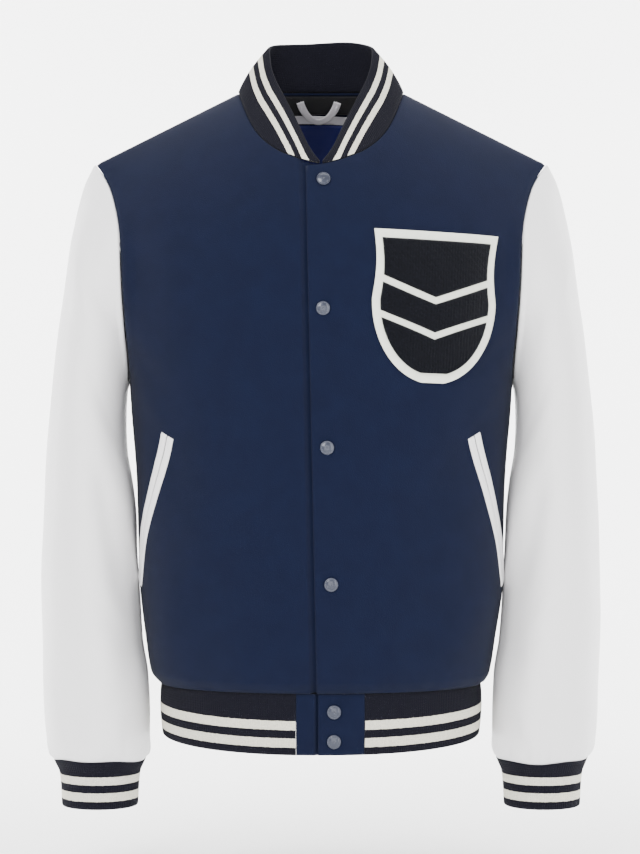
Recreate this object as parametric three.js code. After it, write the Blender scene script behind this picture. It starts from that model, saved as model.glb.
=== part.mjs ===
// Varsity jacket, filled out and empty: wool body, leather sleeves, ribbed collar, cuffs and hem.
// Millimetres, +Z up, the front faces -Y, the wearer's left is +X.
// The origin lies on the middle plane between the high points of the two shoulder seams.
import * as THREE from 'three';

// Walls and gaps
const WOOL = 2.0;
const LEATHER = 1.6;
const KNIT = 2.6;
const SEAM_GAP = 0.3;
const LAID_GAP = 0.35;
const PATCH_GAP = 0.6;

// Body: superellipse sections whose front and back fall away from the shoulder ridge
const SECTION_POWER = 2.2;
const SHOULDER_POWER = 0.72;
const FRONT_SHOULDER_DROP = 240;
const BACK_SHOULDER_DROP = 120;
const NECK_X = 86;
const TIP_X = 234;
const TIP_Z = -74;
const UNDERARM_Z = -300;
const BODY_END_Z = -612;
const SHOULDER_SLOPE = 0.5;
const RIDGE_ROUND = 40;
const BODY = [
  { z: -612, width: 167, front: 124, back: 121 },
  { z: -600, width: 175, front: 130, back: 127 },
  { z: -570, width: 180, front: 133, back: 130 },
  { z: -500, width: 187, front: 135, back: 132 },
  { z: -413, width: 190, front: 133, back: 131 },
  { z: -330, width: 197, front: 130, back: 130 },
  { z: -300, width: 199, front: 130, back: 130 },
  { z: -246, width: 213, front: 130, back: 131 },
  { z: -205, width: 226, front: 130, back: 132 },
  { z: -163, width: 236, front: 130, back: 132 },
  { z: -122, width: 242, front: 130, back: 132 },
  { z: -74, width: 244, front: 130, back: 132 },
  { z: 60, width: 244, front: 130, back: 132 },
];
const ARMHOLE = [
  { z: -300, x: 198.6 },
  { z: -290, x: 198 },
  { z: -246, x: 200.5 },
  { z: -205, x: 203 },
  { z: -163, x: 205 },
  { z: -142, x: 207 },
  { z: -122, x: 211 },
  { z: -101, x: 217.6 },
  { z: -84, x: 227 },
  { z: TIP_Z, x: TIP_X },
];
const NECKLINE = [
  { x: -25, z: -86.6 },
  { x: -15.5, z: -86 },
  { x: 0, z: -84 },
  { x: 17, z: -80 },
  { x: 29, z: -75.4 },
  { x: 42, z: -69.5 },
  { x: 57.6, z: -57.5 },
  { x: 67, z: -46 },
  { x: 74.6, z: -31.6 },
  { x: 81, z: -15 },
  { x: NECK_X, z: 0 },
];
const BACK_NECK_Z = 8;

// Rows shared by the fronts, the back, the sleeve heads and the collar
const BODY_ROWS = [-612, -606, -598, -584, -560, -530, -496, -462, -430, -398, -366, -334, -300];
const ARMHOLE_ROWS = [-300, -288, -270, -245, -215, -185, -158, -135, -115, -98, -85, -74];
const NECK_POINTS = [-15.5, 8, 29, 45, 60, 71, 80, NECK_X];
const FIRST_NECK_ROW = ARMHOLE_ROWS.length - NECK_POINTS.length;
const FIRST_NECK = BODY_ROWS.length - 1 + FIRST_NECK_ROW;
const FRONT_COLUMNS = 11;
const BACK_NECK_COLUMNS = 5;
const BACK_SHOULDER_COLUMNS = 6;

// Front closing: the left front laps over the right one
const LAP = [
  { z: -700, x: -2.5 },
  { z: -86, x: -15.5 },
];
const UNDERLAP = 25;
const UNDERLAP_STEP = WOOL + 1.7;
const STEP_START = 8;
const STEP_END = 1.5;

// Soft folds, as strokes on a face: the ridge or trough runs from (x1, z1) to (x2, z2)
const BODY_FOLDS = [
  { face: -1, x1: 178, z1: -330, x2: 120, z2: -420, reach: 26, rise: -3 },
  { face: -1, x1: -178, z1: -330, x2: -130, z2: -430, reach: 26, rise: -3 },
  { face: -1, x1: 168, z1: -520, x2: 120, z2: -585, reach: 22, rise: 3 },
  { face: -1, x1: -150, z1: -500, x2: -158, z2: -590, reach: 22, rise: 3 },
  { face: -1, x1: 60, z1: -560, x2: 85, z2: -600, reach: 20, rise: 2 },
  { face: -1, x1: -70, z1: -560, x2: -90, z2: -600, reach: 20, rise: 2 },
  { face: -1, x1: 190, z1: -160, x2: 165, z2: -260, reach: 22, rise: -3 },
  { face: -1, x1: -190, z1: -160, x2: -168, z2: -270, reach: 22, rise: -3 },
  { face: 1, x1: 185, z1: -180, x2: 150, z2: -320, reach: 26, rise: -4 },
  { face: 1, x1: -185, z1: -180, x2: -155, z2: -310, reach: 26, rise: -4 },
  { face: 1, x1: 150, z1: -480, x2: 110, z2: -590, reach: 24, rise: 3 },
  { face: 1, x1: -140, z1: -470, x2: -120, z2: -590, reach: 24, rise: 3 },
  { face: 1, x1: 20, z1: -540, x2: 5, z2: -600, reach: 24, rise: 3 },
];

// Sleeve rings: outer and inner edge as seen from the front, half depth and forward lean
const SLEEVE = [
  { k: 0, outX: 234, outZ: -74, inX: 198.6, inZ: -300, depth: 64, lean: 0 },
  { k: 0.05, outX: 244.5, outZ: -93, inX: 202, inZ: -313, depth: 66, lean: 0 },
  { k: 0.1, outX: 252, outZ: -118, inX: 203, inZ: -328, depth: 67, lean: 0 },
  { k: 0.18, outX: 260, outZ: -158, inX: 202.5, inZ: -350, depth: 68, lean: 0 },
  { k: 0.26, outX: 266, outZ: -203, inX: 201, inZ: -374, depth: 68, lean: -1 },
  { k: 0.35, outX: 272.5, outZ: -255, inX: 198, inZ: -403, depth: 67, lean: -2 },
  { k: 0.45, outX: 278.5, outZ: -315, inX: 195.5, inZ: -438, depth: 65, lean: -4 },
  { k: 0.55, outX: 283, outZ: -378, inX: 193, inZ: -478, depth: 63, lean: -6 },
  { k: 0.65, outX: 286, outZ: -443, inX: 191, inZ: -520, depth: 61, lean: -9 },
  { k: 0.75, outX: 288, outZ: -510, inX: 187.5, inZ: -564, depth: 60, lean: -12 },
  { k: 0.85, outX: 287, outZ: -574, inX: 179.5, inZ: -604, depth: 58, lean: -15 },
  { k: 0.93, outX: 286, outZ: -632, inX: 176.5, inZ: -647, depth: 56, lean: -17 },
  { k: 0.975, outX: 282.5, outZ: -671, inX: 176.5, inZ: -674, depth: 53.5, lean: -18 },
  { k: 1, outX: 276, outZ: -688, inX: 180, inZ: -688, depth: 50, lean: -18 },
];
const SLEEVE_STEPS = [
  0, 0.02, 0.05, 0.1, 0.16, 0.22, 0.29, 0.36, 0.43, 0.5, 0.57, 0.64, 0.71, 0.78, 0.85, 0.91, 0.95, 0.98, 1,
];
const HEAD_BLEND = 0.2;
const SLEEVE_FOLDS = [
  { face: -1, x1: 246, z1: -165, x2: 234, z2: -212, reach: 15, rise: -4 },
  { face: -1, x1: 219, z1: -205, x2: 211, z2: -270, reach: 14, rise: -3 },
  { face: -1, x1: 222, z1: -398, x2: 209, z2: -462, reach: 13, rise: -6 },
  { face: -1, x1: 209, z1: -462, x2: 190, z2: -530, reach: 13, rise: -8 },
  { face: -1, x1: 190, z1: -530, x2: 186, z2: -610, reach: 15, rise: -5 },
  { face: -1, x1: 240, z1: -490, x2: 216, z2: -600, reach: 17, rise: 5 },
  { face: -1, x1: 264, z1: -628, x2: 245, z2: -668, reach: 11, rise: -4 },
  { face: -1, x1: 205, z1: -632, x2: 212, z2: -675, reach: 10, rise: 3 },
  { face: 1, x1: 215, z1: -400, x2: 245, z2: -470, reach: 16, rise: -7 },
  { face: 1, x1: 212, z1: -450, x2: 250, z2: -520, reach: 15, rise: 5 },
  { face: 1, x1: 246, z1: -150, x2: 215, z2: -240, reach: 16, rise: -4 },
  { face: 1, x1: 262, z1: -612, x2: 235, z2: -668, reach: 12, rise: -4 },
];

// Ribbed bands: a raised rib every RIB_PITCH, RIB_HEIGHT proud, flatter where the seam holds it
const RIB_PITCH = 4.6;
const RIB_HEIGHT = 0.7;
const RIB_AT_SEAM = 0.15;
const CUFF_AT = { x: 228, y: -18, topZ: -688.4, endZ: -737 };
const CUFF = [
  { t: 0, half: 47, depth: 49 },
  { t: 0.1, half: 44.5, depth: 47 },
  { t: 0.28, half: 41, depth: 43.6 },
  { t: 0.55, half: 39.6, depth: 42 },
  { t: 1, half: 38.5, depth: 41 },
];
const CUFF_COLUMNS = 21;
const HEM = { topWidth: 165.5, endWidth: 163.5, topFront: 122.5, endFront: 121, topBack: 119.5, endBack: 118 };
const HEM_TOP_Z = BODY_END_Z - SEAM_GAP;
const HEM_SIDE_END_Z = -664;
const HEM_FRONT_DIP = 9.5;
const HEM_BACK_DIP = 4;
const HEM_COLUMNS = 66;
const BLOCK_WALL = 3.0;
const BLOCK_LEFT = { from: -2.8, to: 43.4 };
const BLOCK_RIGHT = { from: 21, to: -24.9 };

// Collar: height above the neckline seam, from the middle of the back to the front V
const COLLAR = [
  { u: 0, x: 0, y: 51, z: 59 },
  { u: 0.14, x: 26, y: 47, z: 58.5 },
  { u: 0.28, x: 45, y: 34, z: 56 },
  { u: 0.4, x: 54, y: 13, z: 49 },
  { u: 0.52, x: 52, y: -8, z: 30 },
  { u: 0.62, x: 46, y: -24, z: 10 },
  { u: 0.7, x: 39.6, y: -38, z: -4 },
  { u: 0.79, x: 30, y: -55, z: -24 },
  { u: 0.87, x: 20.5, y: -73, z: -45 },
  { u: 0.94, x: 11, y: -90, z: -66 },
  { u: 1, x: 1.6, y: -103, z: -81 },
];
const COLLAR_END_X = 1.6;
const COLLAR_ROWS = 4;
const COLLAR_GAP = 0.6;

// Pocket welts: the slit between them, and the strip widths
const SLIT = [
  { z: -356, x: 155.5 },
  { z: -416, x: 170.5 },
  { z: -470, x: 182.4 },
  { z: -508, x: 185.6 },
];
const WELT_WIDTH = 8.2;
const WELT_SLIT = 1.2;
const WELT_THICK = 1.6;
const WELT_SLANT = 0.42;
const WELT_ROWS = 12;

// Chest patch: a plain shield of felt with three chenille fields on it
const PATCH = { x: 113, z: -229, width: 126, height: 152, tilt: -0.035 };
const FELT = 1.6;
const CHENILLE = 3.2;
const PATCH_BORDER = 8;
const PATCH_FIELD_GAP = 7;
const PATCH_FIELDS = [
  { name: 'top', from: 0, to: 0.3 },
  { name: 'middle', from: 0.3, to: 0.56 },
  { name: 'bottom', from: 0.56, to: 1 },
];
const CHEVRON_DROP = 20;

// Snap caps, inside the neck
const SNAP_RADIUS = 7;
const SNAP_HEIGHT = 2.6;
const SNAPS = [
  { x: 2.5, z: -100.5 },
  { x: 2, z: -230 },
  { x: 6, z: -368 },
  { x: 10, z: -503 },
  { x: 12.9, z: -630 },
  { x: 12.9, z: -659.5 },
];
const TAPE_THICK = 1.0;
const UNDER_WOOL = WOOL + 0.8;
const TAPE = { halfWidth: 60, x: 0, top: 6.5, end: -10.5 };
const PIPING = { halfWidth: 32, x: -1.5, top: -11.8, end: -19.5 };
const LABEL = { halfWidth: 36, x: -1, top: -20.5, end: -72 };
const LOOP = { x: -2.4, halfSpan: 21, top: 2.5, sag: 18, width: 8, thick: 1.2, off: 1.8, swing: 5 };

const NAVY_WOOL = { color: '#1e283e', roughness: 0.95, metalness: 0 };
const IVORY_LEATHER = { color: '#e2e1e0', roughness: 0.55, metalness: 0 };
const NAVY_KNIT = { color: '#201f27', roughness: 0.95, metalness: 0 };
const IVORY_FELT = { color: '#e4e6dc', roughness: 0.95, metalness: 0 };
const DARK_CHENILLE = { color: '#1c2029', roughness: 1, metalness: 0 };
const BLUE_GREY_METAL = { color: '#4b5268', roughness: 0.45, metalness: 0.7 };
const BLACK_TAPE = { color: '#131215', roughness: 0.9, metalness: 0 };
const BLUE_LABEL = { color: '#0a1450', roughness: 0.8, metalness: 0 };
const PALE_TAPE = { color: '#d9d6dc', roughness: 0.8, metalness: 0 };

const group = new THREE.Group();
const vec = (x, y, z) => new THREE.Vector3(x, y, z);
const mix = THREE.MathUtils.lerp;
const clamp01 = (t) => Math.min(1, Math.max(0, t));
const smooth = (t) => clamp01(t) ** 2 * (3 - 2 * clamp01(t));
const count = (n) => Array.from({ length: n }, (_, i) => i);

// Reads one column of a table at a place between its rows, with tangents that never overshoot
function follow(rows, from, to, at) {
  const last = rows.length - 1;
  const slope = (i) => (rows[i + 1][to] - rows[i][to]) / (rows[i + 1][from] - rows[i][from]);
  const tangent = (i) => {
    if (i === 0) return slope(0);
    if (i === last) return slope(last - 1);
    const before = slope(i - 1);
    const after = slope(i);
    return before * after <= 0 ? 0 : (2 * before * after) / (before + after);
  };
  let i = 0;
  while (i < last - 1 && at > rows[i + 1][from]) i += 1;
  const span = rows[i + 1][from] - rows[i][from];
  const t = clamp01((at - rows[i][from]) / span);
  const h = (1 - t) ** 2;
  const blended = rows[i][to] * (1 + 2 * t) * h + rows[i + 1][to] * t * t * (3 - 2 * t);
  return blended + span * (tangent(i) * t * h - tangent(i + 1) * t * t * (1 - t));
}

const width = (z) => follow(BODY, 'z', 'width', z);
const armholeX = (z) => follow(ARMHOLE, 'z', 'x', z);
const necklineZ = (x) => follow(NECKLINE, 'x', 'z', x);
const lapX = (z) => follow(LAP, 'z', 'x', z);

// Height of the shoulder seam, carried on over the neck as a rounded ridge
function ridgeZ(x) {
  const over = Math.abs(x);
  const reach = Math.hypot(NECK_X, RIDGE_ROUND);
  return over < NECK_X
    ? SHOULDER_SLOPE * (reach - Math.hypot(over, RIDGE_ROUND))
    : -SHOULDER_SLOPE * (over - NECK_X);
}

// How far the body swells from the shoulder ridge, from 0 on the ridge to 1 below the chest
function swell(x, z, drop) {
  const t = clamp01((ridgeZ(x) - z) / drop);
  return (1 - (1 - t) ** 2) ** SHOULDER_POWER;
}

// Height of the strokes of a fold table at a place on one face
function foldHeight(folds, face, x, z) {
  let height = 0;
  for (const f of folds) {
    if (f.face === face) {
      const dx = f.x2 - f.x1;
      const dz = f.z2 - f.z1;
      const along = clamp01(((x - f.x1) * dx + (z - f.z1) * dz) / (dx * dx + dz * dz));
      const away = Math.hypot(x - f.x1 - along * dx, z - f.z1 - along * dz);
      height += f.rise * Math.exp(-((away / f.reach) ** 2)) * (0.45 + 0.55 * Math.sin(Math.PI * along));
    }
  }
  return height;
}

// Point of the body's outer face: face -1 is the front, +1 the back, turn is the angle from the middle
function bodyPoint(face, turn, z) {
  const side = Math.sign(turn);
  const angle = Math.abs(turn);
  const x = side * width(z) * Math.sin(angle) ** (2 / SECTION_POWER);
  const drop = face < 0 ? FRONT_SHOULDER_DROP : BACK_SHOULDER_DROP;
  const depth = follow(BODY, 'z', face < 0 ? 'front' : 'back', z);
  const y = depth * swell(x, z, drop) * Math.max(0, Math.cos(angle)) ** (2 / SECTION_POWER);
  return vec(x, face * (y + SEAM_GAP / 2), z);
}

function turnAt(x, z) {
  const share = Math.min(1, Math.abs(x) / width(z));
  return Math.sign(x) * Math.asin(share ** (SECTION_POWER / 2));
}

const facePoint = (face, x, z) => bodyPoint(face, turnAt(x, z), z);

// Outward direction of the body's face
function faceNormal(face, turn, z) {
  const step = 0.004;
  const across = bodyPoint(face, turn + step, z).sub(bodyPoint(face, turn - step, z));
  const up = bodyPoint(face, turn, z + 0.5).sub(bodyPoint(face, turn, z - 0.5));
  return across.cross(up).multiplyScalar(-face).normalize();
}

// Point on the body raised by its folds and by a height above the cloth
function raised(face, x, z, height) {
  const turn = turnAt(x, z);
  const lift = foldHeight(BODY_FOLDS, face, x, z) + height;
  return bodyPoint(face, turn, z).addScaledVector(faceNormal(face, turn, z), lift);
}

// Outward directions of a grid, from its neighbours; rows run one way round the outside
function gridNormals(grid, round, outward) {
  const rows = grid.length;
  const columns = grid[0].length;
  const pick = (i, j) => grid[i][round ? (j + columns) % columns : Math.min(columns - 1, Math.max(0, j))];
  return grid.map((row, i) => row.map((_, j) => {
    const across = pick(i, j + 1).clone().sub(pick(i, j - 1));
    const up = grid[Math.min(rows - 1, i + 1)][j].clone().sub(grid[Math.max(0, i - 1)][j]);
    return across.cross(up).multiplyScalar(outward).normalize();
  }));
}

// Closed body between an outer grid and an inner grid whose columns are a whole number of times wider
function shell(outer, inner, round) {
  const place = [];
  const faces = [];
  const rows = outer.length;
  const fine = outer[0].length;
  const coarse = inner[0].length;
  const ratio = round ? fine / coarse : (fine - 1) / (coarse - 1);
  outer.flat().forEach((p) => place.push(p.x, p.y, p.z));
  inner.flat().forEach((p) => place.push(p.x, p.y, p.z));
  const o = (i, j) => i * fine + (round ? j % fine : j);
  const n = (i, j) => rows * fine + i * coarse + (round ? j % coarse : j);
  const fineCells = round ? fine : fine - 1;
  const coarseCells = round ? coarse : coarse - 1;
  const quad = (a, b, c, d) => faces.push(a, b, c, a, c, d);
  for (let i = 0; i < rows - 1; i += 1) {
    for (let j = 0; j < fineCells; j += 1) quad(o(i, j), o(i, j + 1), o(i + 1, j + 1), o(i + 1, j));
    for (let j = 0; j < coarseCells; j += 1) quad(n(i, j), n(i + 1, j), n(i + 1, j + 1), n(i, j + 1));
  }
  // The two rims fan the fine edge onto the coarse one
  for (const [i, flip] of [[0, false], [rows - 1, true]]) {
    const turnOver = (a, b, c) => (flip ? faces.push(a, c, b) : faces.push(a, b, c));
    for (let j = 0; j < coarseCells; j += 1) {
      const half = Math.floor(ratio / 2);
      for (let m = 0; m < ratio; m += 1) {
        const at = j * ratio + m;
        turnOver(o(i, at + 1), o(i, at), n(i, m < half ? j : j + 1));
      }
      turnOver(n(i, j), n(i, j + 1), o(i, j * ratio + half));
    }
  }
  if (!round) {
    for (let i = 0; i < rows - 1; i += 1) {
      quad(n(i, 0), o(i, 0), o(i + 1, 0), n(i + 1, 0));
      quad(o(i, fine - 1), n(i, coarse - 1), n(i + 1, coarse - 1), o(i + 1, fine - 1));
    }
  }
  const geometry = new THREE.BufferGeometry();
  geometry.setAttribute('position', new THREE.Float32BufferAttribute(place, 3));
  geometry.setIndex(faces);
  return geometry;
}

// Signed volume, to turn a body whose faces came out inward
function volume(geometry) {
  const p = geometry.getAttribute('position');
  const index = geometry.getIndex();
  const corner = (i) => new THREE.Vector3().fromBufferAttribute(p, index.getX(i));
  let total = 0;
  for (let i = 0; i < index.count; i += 3) total += corner(i).dot(corner(i + 1).cross(corner(i + 2)));
  return total / 6;
}

function facingOut(geometry) {
  if (volume(geometry) < 0) {
    const list = Array.from(geometry.getIndex().array);
    for (let i = 0; i < list.length; i += 3) [list[i], list[i + 1]] = [list[i + 1], list[i]];
    geometry.setIndex(list);
  }
  geometry.computeVertexNormals();
  return geometry;
}

function add(name, geometry, look) {
  const mesh = new THREE.Mesh(facingOut(geometry), new THREE.MeshStandardMaterial(look));
  mesh.name = name;
  group.add(mesh);
}

// Cloth wall under an outer grid; seam(normal, i, j) may set the direction along a seam
function cloth(outer, thick, round, outward, seam = (n) => n) {
  const normals = gridNormals(outer, round, outward);
  const inner = outer.map((row, i) => row.map((p, j) => (
    p.clone().addScaledVector(seam(normals[i][j], i, j).normalize(), -thick)
  )));
  return shell(outer, inner, round);
}

// Share of a fold that is left near the edges of a grid
function edgeFade(i, j, rows, columns) {
  const rowShare = smooth(Math.min(i, rows - 1 - i) / 2);
  const columnShare = smooth(Math.min(j, columns - 1 - j) / 1.5);
  return rowShare * columnShare;
}

// Rows of a front: edges at the lap and neckline, and at the side seam and armhole
function frontRows() {
  const rows = BODY_ROWS.slice(0, -1).map((z) => ({ edgeX: null, edgeZ: z, sideZ: z }));
  ARMHOLE_ROWS.forEach((sideZ, i) => {
    const share = i / FIRST_NECK_ROW;
    rows.push(i < FIRST_NECK_ROW
      ? { edgeX: null, edgeZ: mix(UNDERARM_Z, necklineZ(NECK_POINTS[0]), share), sideZ }
      : { edgeX: NECK_POINTS[i - FIRST_NECK_ROW], edgeZ: necklineZ(NECK_POINTS[i - FIRST_NECK_ROW]), sideZ });
  });
  return rows;
}

const sideX = (z) => (z < UNDERARM_Z ? width(z) : Math.min(armholeX(z), width(z)));

// A front as a grid of outer points; side is +1 for the wearer's left
function frontGrid(side) {
  const rows = frontRows();
  return rows.map((row, i) => {
    const lap = lapX(row.edgeZ) * side;
    const under = side > 0 ? 0 : 1;
    const start = i <= FIRST_NECK ? lap - under * UNDERLAP : row.edgeX;
    const fixed = under
      ? [start, Math.max(start + 4, lap + STEP_END), Math.max(start + 9, lap + STEP_START)]
      : [start];
    const last = fixed[fixed.length - 1];
    const from = turnAt(last, row.edgeZ);
    const to = turnAt(sideX(row.sideZ), row.sideZ);
    const rest = FRONT_COLUMNS + 2 * under + 1 - fixed.length;
    const points = fixed.slice(0, -1).map((x) => ({ turn: turnAt(x, row.edgeZ), z: row.edgeZ }));
    const straight = clamp01((i - FIRST_NECK) / (rows.length - 1 - FIRST_NECK));
    const reach = Math.sin(to) ** (2 / SECTION_POWER) * width(row.sideZ) - last;
    for (let j = 0; j < rest; j += 1) {
      const share = j / (rest - 1);
      const turn = mix(from, to, share);
      const x = width(row.sideZ) * Math.sign(turn) * Math.abs(Math.sin(turn)) ** (2 / SECTION_POWER);
      const down = mix(smooth(share), clamp01((x - last) / reach), straight);
      points.push({ turn, z: mix(row.edgeZ, row.sideZ, down) });
    }
    return points.map((p, j) => {
      const at = bodyPoint(-1, side * p.turn, p.z);
      const tucked = under * UNDERLAP_STEP * smooth((lap + STEP_START - side * at.x) / (STEP_START - STEP_END));
      const fold = foldHeight(BODY_FOLDS, -1, at.x, p.z) * edgeFade(i, j, rows.length, points.length);
      return at.addScaledVector(faceNormal(-1, side * p.turn, p.z), fold - tucked);
    });
  });
}

// Wall directions on a body panel's edges: on the shoulder and side seams they stay on the seam's plane
function bodySeam(grid, face) {
  const top = grid.length - 1;
  const end = grid[0].length - 1;
  return (n, i, j) => {
    const p = grid[i][j];
    const onNeck = face < 0 ? j === 0 && i > FIRST_NECK && i < top : i === top && Math.abs(p.x) < NECK_X - 1;
    const onShoulder = i === top && !onNeck;
    const onSide = (j === end || (face > 0 && j === 0)) && i < BODY_ROWS.length;
    const out = onNeck || onShoulder ? faceNormal(face, turnAt(p.x, p.z), p.z) : n;
    return onShoulder || onSide ? out.setY(0) : out;
  };
}

function makeFront(side) {
  const grid = frontGrid(side);
  return { grid, geometry: cloth(grid, WOOL, false, side, bodySeam(grid, -1)) };
}

// The back's columns: the neck, and the two shoulders outside it
function backShares() {
  const neck = turnAt(NECK_X, 0) / turnAt(TIP_X, TIP_Z);
  const half = [
    ...count(BACK_NECK_COLUMNS).map((i) => (neck * i) / BACK_NECK_COLUMNS),
    ...count(BACK_SHOULDER_COLUMNS + 1).map((i) => mix(neck, 1, i / BACK_SHOULDER_COLUMNS)),
  ];
  return [...half.slice(1).reverse().map((s) => -s), ...half];
}

function backTopZ(x) {
  const over = Math.abs(x);
  return over < NECK_X ? BACK_NECK_Z * (1 - (over / NECK_X) ** 2) : ridgeZ(over);
}

function backGrid() {
  const shares = backShares();
  const levels = [...BODY_ROWS.slice(0, -1), ...ARMHOLE_ROWS];
  return levels.map((level, i) => shares.map((share, j) => {
    const full = turnAt(sideX(level), level);
    const roughX = width(level) * Math.sin(Math.abs(share) * full) ** (2 / SECTION_POWER);
    const rise = clamp01((level - UNDERARM_Z) / (TIP_Z - UNDERARM_Z));
    const top = i === levels.length - 1;
    const z = top && Math.abs(share) === 1 ? level : level + rise * (backTopZ(roughX) - TIP_Z);
    const at = bodyPoint(1, share * full, z);
    const fold = foldHeight(BODY_FOLDS, 1, at.x, z) * edgeFade(i, j, levels.length, shares.length);
    return at.addScaledVector(faceNormal(1, share * full, z), fold);
  }));
}

// The armhole edge as a ring: from the shoulder tip down the front, then up the back
function armholeRing(side, front, back) {
  const rise = ARMHOLE_ROWS.length;
  const start = BODY_ROWS.length - 1;
  const down = count(rise).map((i) => front[start + rise - 1 - i].at(-1));
  const column = side > 0 ? back[0].length - 1 : 0;
  const up = count(rise - 2).map((i) => back[start + 1 + i][column]);
  return [...down, ...up].map((p) => p.clone());
}

function sleeveGrid(side, ring) {
  const read = (k, to) => follow(SLEEVE, 'k', to, k);
  const frameAt = (k) => {
    const out = vec(side * read(k, 'outX'), read(k, 'lean'), read(k, 'outZ'));
    const within = vec(side * read(k, 'inX'), read(k, 'lean'), read(k, 'inZ'));
    return {
      centre: out.clone().add(within).multiplyScalar(0.5),
      arm: out.clone().sub(within).multiplyScalar(0.5),
      depth: read(k, 'depth'),
    };
  };
  const head = frameAt(0);
  const angles = ring.map((p) => {
    const from = p.clone().sub(head.centre);
    const along = from.dot(head.arm) / head.arm.lengthSq();
    const angle = Math.atan2(-from.y / head.depth, along);
    return angle < -1e-3 ? angle + 2 * Math.PI : angle;
  });
  const ellipse = (frame, angle) => frame.centre.clone()
    .addScaledVector(frame.arm, Math.cos(angle))
    .add(vec(0, -frame.depth * Math.sin(angle), 0));
  return SLEEVE_STEPS.map((k, i) => {
    const frame = frameAt(k);
    const left = 1 - smooth(k / HEAD_BLEND);
    return ring.map((p, j) => {
      const angle = mix((2 * Math.PI * j) / ring.length, angles[j], Math.max(left, 0));
      const rest = p.clone().sub(ellipse(head, angles[j]));
      const at = ellipse(frame, angle).addScaledVector(rest, left);
      if (i === 0) return at.add(vec(side * (SEAM_GAP + 0.15), 0, -0.1));
      const out = at.clone().sub(frame.centre).normalize();
      const face = at.y < frame.centre.y ? -1 : 1;
      const facing = Math.abs(Math.sin(angle)) ** 0.5;
      const fade = smooth(i / 2) * smooth((SLEEVE_STEPS.length - 1 - i) / 1.5) * facing;
      return at.addScaledVector(out, foldHeight(SLEEVE_FOLDS, face, side * at.x, at.z) * fade);
    });
  });
}

// A sleeve: at its head the wall leans as the body's edge does, where the two run on smoothly
function makeSleeve(side, ring) {
  const grid = sleeveGrid(side, ring);
  const seam = (n, i, j) => {
    if (i > 0) return n;
    const p = ring[j];
    const face = p.y < 0 ? -1 : 1;
    const body = faceNormal(face, turnAt(p.x, p.z), p.z);
    return body.dot(n) > 0.3 ? body : n;
  };
  const way = side;
  return cloth(grid, LEATHER, true, way, seam);
}

// Splits each coarse cell of an outer grid into ribs; ribs stand out along the given directions
function ribbed(grid, normals, round, ribsPerCell) {
  const columns = grid[0].length;
  const cells = round ? columns : columns - 1;
  const steps = 2 * ribsPerCell;
  return grid.map((row, i) => {
    const fine = [];
    for (let j = 0; j < cells; j += 1) {
      const next = (j + 1) % columns;
      for (let m = 0; m < steps; m += 1) {
        const t = m / steps;
        const out = normals[i][j].clone().lerp(normals[i][next], t).normalize();
        const height = i === 0 ? RIB_AT_SEAM : RIB_HEIGHT;
        fine.push(row[j].clone().lerp(row[next], t).addScaledVector(out, m % 2 ? height : 0));
      }
    }
    if (!round) fine.push(row[columns - 1].clone());
    return fine;
  });
}

function ribbedWall(grid, round, outward, thick, foot = null) {
  const normals = gridNormals(grid, round, outward);
  if (foot) normals[0] = foot;
  const inner = grid.map((row, i) => row.map((p, j) => p.clone().addScaledVector(normals[i][j], -thick)));
  const cell = grid[0][0].distanceTo(grid[0][1]);
  return shell(ribbed(grid, normals, round, Math.max(1, Math.round(cell / RIB_PITCH))), inner, round);
}

function makeCuff(side) {
  const rows = CUFF.map(({ t, half, depth }) => count(CUFF_COLUMNS).map((j) => {
    const angle = (2 * Math.PI * j) / CUFF_COLUMNS;
    const z = mix(CUFF_AT.topZ, CUFF_AT.endZ, t);
    return vec(side * (CUFF_AT.x + half * Math.cos(angle)), CUFF_AT.y - depth * Math.sin(angle), z);
  }));
  return ribbedWall(rows, true, side, KNIT);
}

// Point of the hem band's outer face; turn runs from the front middle (0) to the back middle (pi)
function hemPoint(turn, t) {
  const angle = Math.abs(turn);
  const cosine = Math.cos(angle);
  const half = mix(HEM.topWidth, HEM.endWidth, t) + 1.5 * Math.sin(Math.PI * t);
  const front = mix(HEM.topFront, HEM.endFront, t) + 1.5 * Math.sin(Math.PI * t);
  const back = mix(HEM.topBack, HEM.endBack, t) + 1.5 * Math.sin(Math.PI * t);
  const reach = cosine > 0 ? front : back;
  const dip = cosine > 0 ? HEM_FRONT_DIP : HEM_BACK_DIP;
  const endZ = HEM_SIDE_END_Z - dip * Math.abs(cosine) ** 1.2;
  const x = Math.sign(turn) * half * Math.abs(Math.sin(angle)) ** (2 / SECTION_POWER);
  const y = -Math.sign(cosine) * reach * Math.abs(cosine) ** (2 / SECTION_POWER);
  return vec(x, y, mix(HEM_TOP_Z, endZ, t));
}

const hemTurn = (x) => Math.sign(x) * Math.asin((Math.abs(x) / HEM.topWidth) ** (SECTION_POWER / 2));

function makeHemRib() {
  const from = hemTurn(BLOCK_LEFT.to + SEAM_GAP);
  const to = 2 * Math.PI + hemTurn(BLOCK_RIGHT.to - SEAM_GAP);
  const fold = (turn) => (turn > Math.PI ? turn - 2 * Math.PI : turn);
  const rows = [0, 1].map((t) => (
    count(HEM_COLUMNS + 1).map((j) => hemPoint(fold(mix(from, to, j / HEM_COLUMNS)), t))
  ));
  return ribbedWall(rows, false, -1, KNIT);
}

// A wool end block of the hem; tuck pushes the under one in behind the lap
function makeHemBlock(from, to, tuck) {
  const steps = 6;
  const rows = [0, 0.5, 1].map((t) => count(steps + 1).map((j) => {
    const x = mix(from, to, j / steps);
    const inward = tuck * smooth((x - BLOCK_LEFT.from + 4) / 2.4);
    return hemPoint(hemTurn(x) || 1e-6, t).add(vec(0, inward, 0));
  }));
  return cloth(rows, BLOCK_WALL, false, from < to ? -1 : 1);
}

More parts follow.
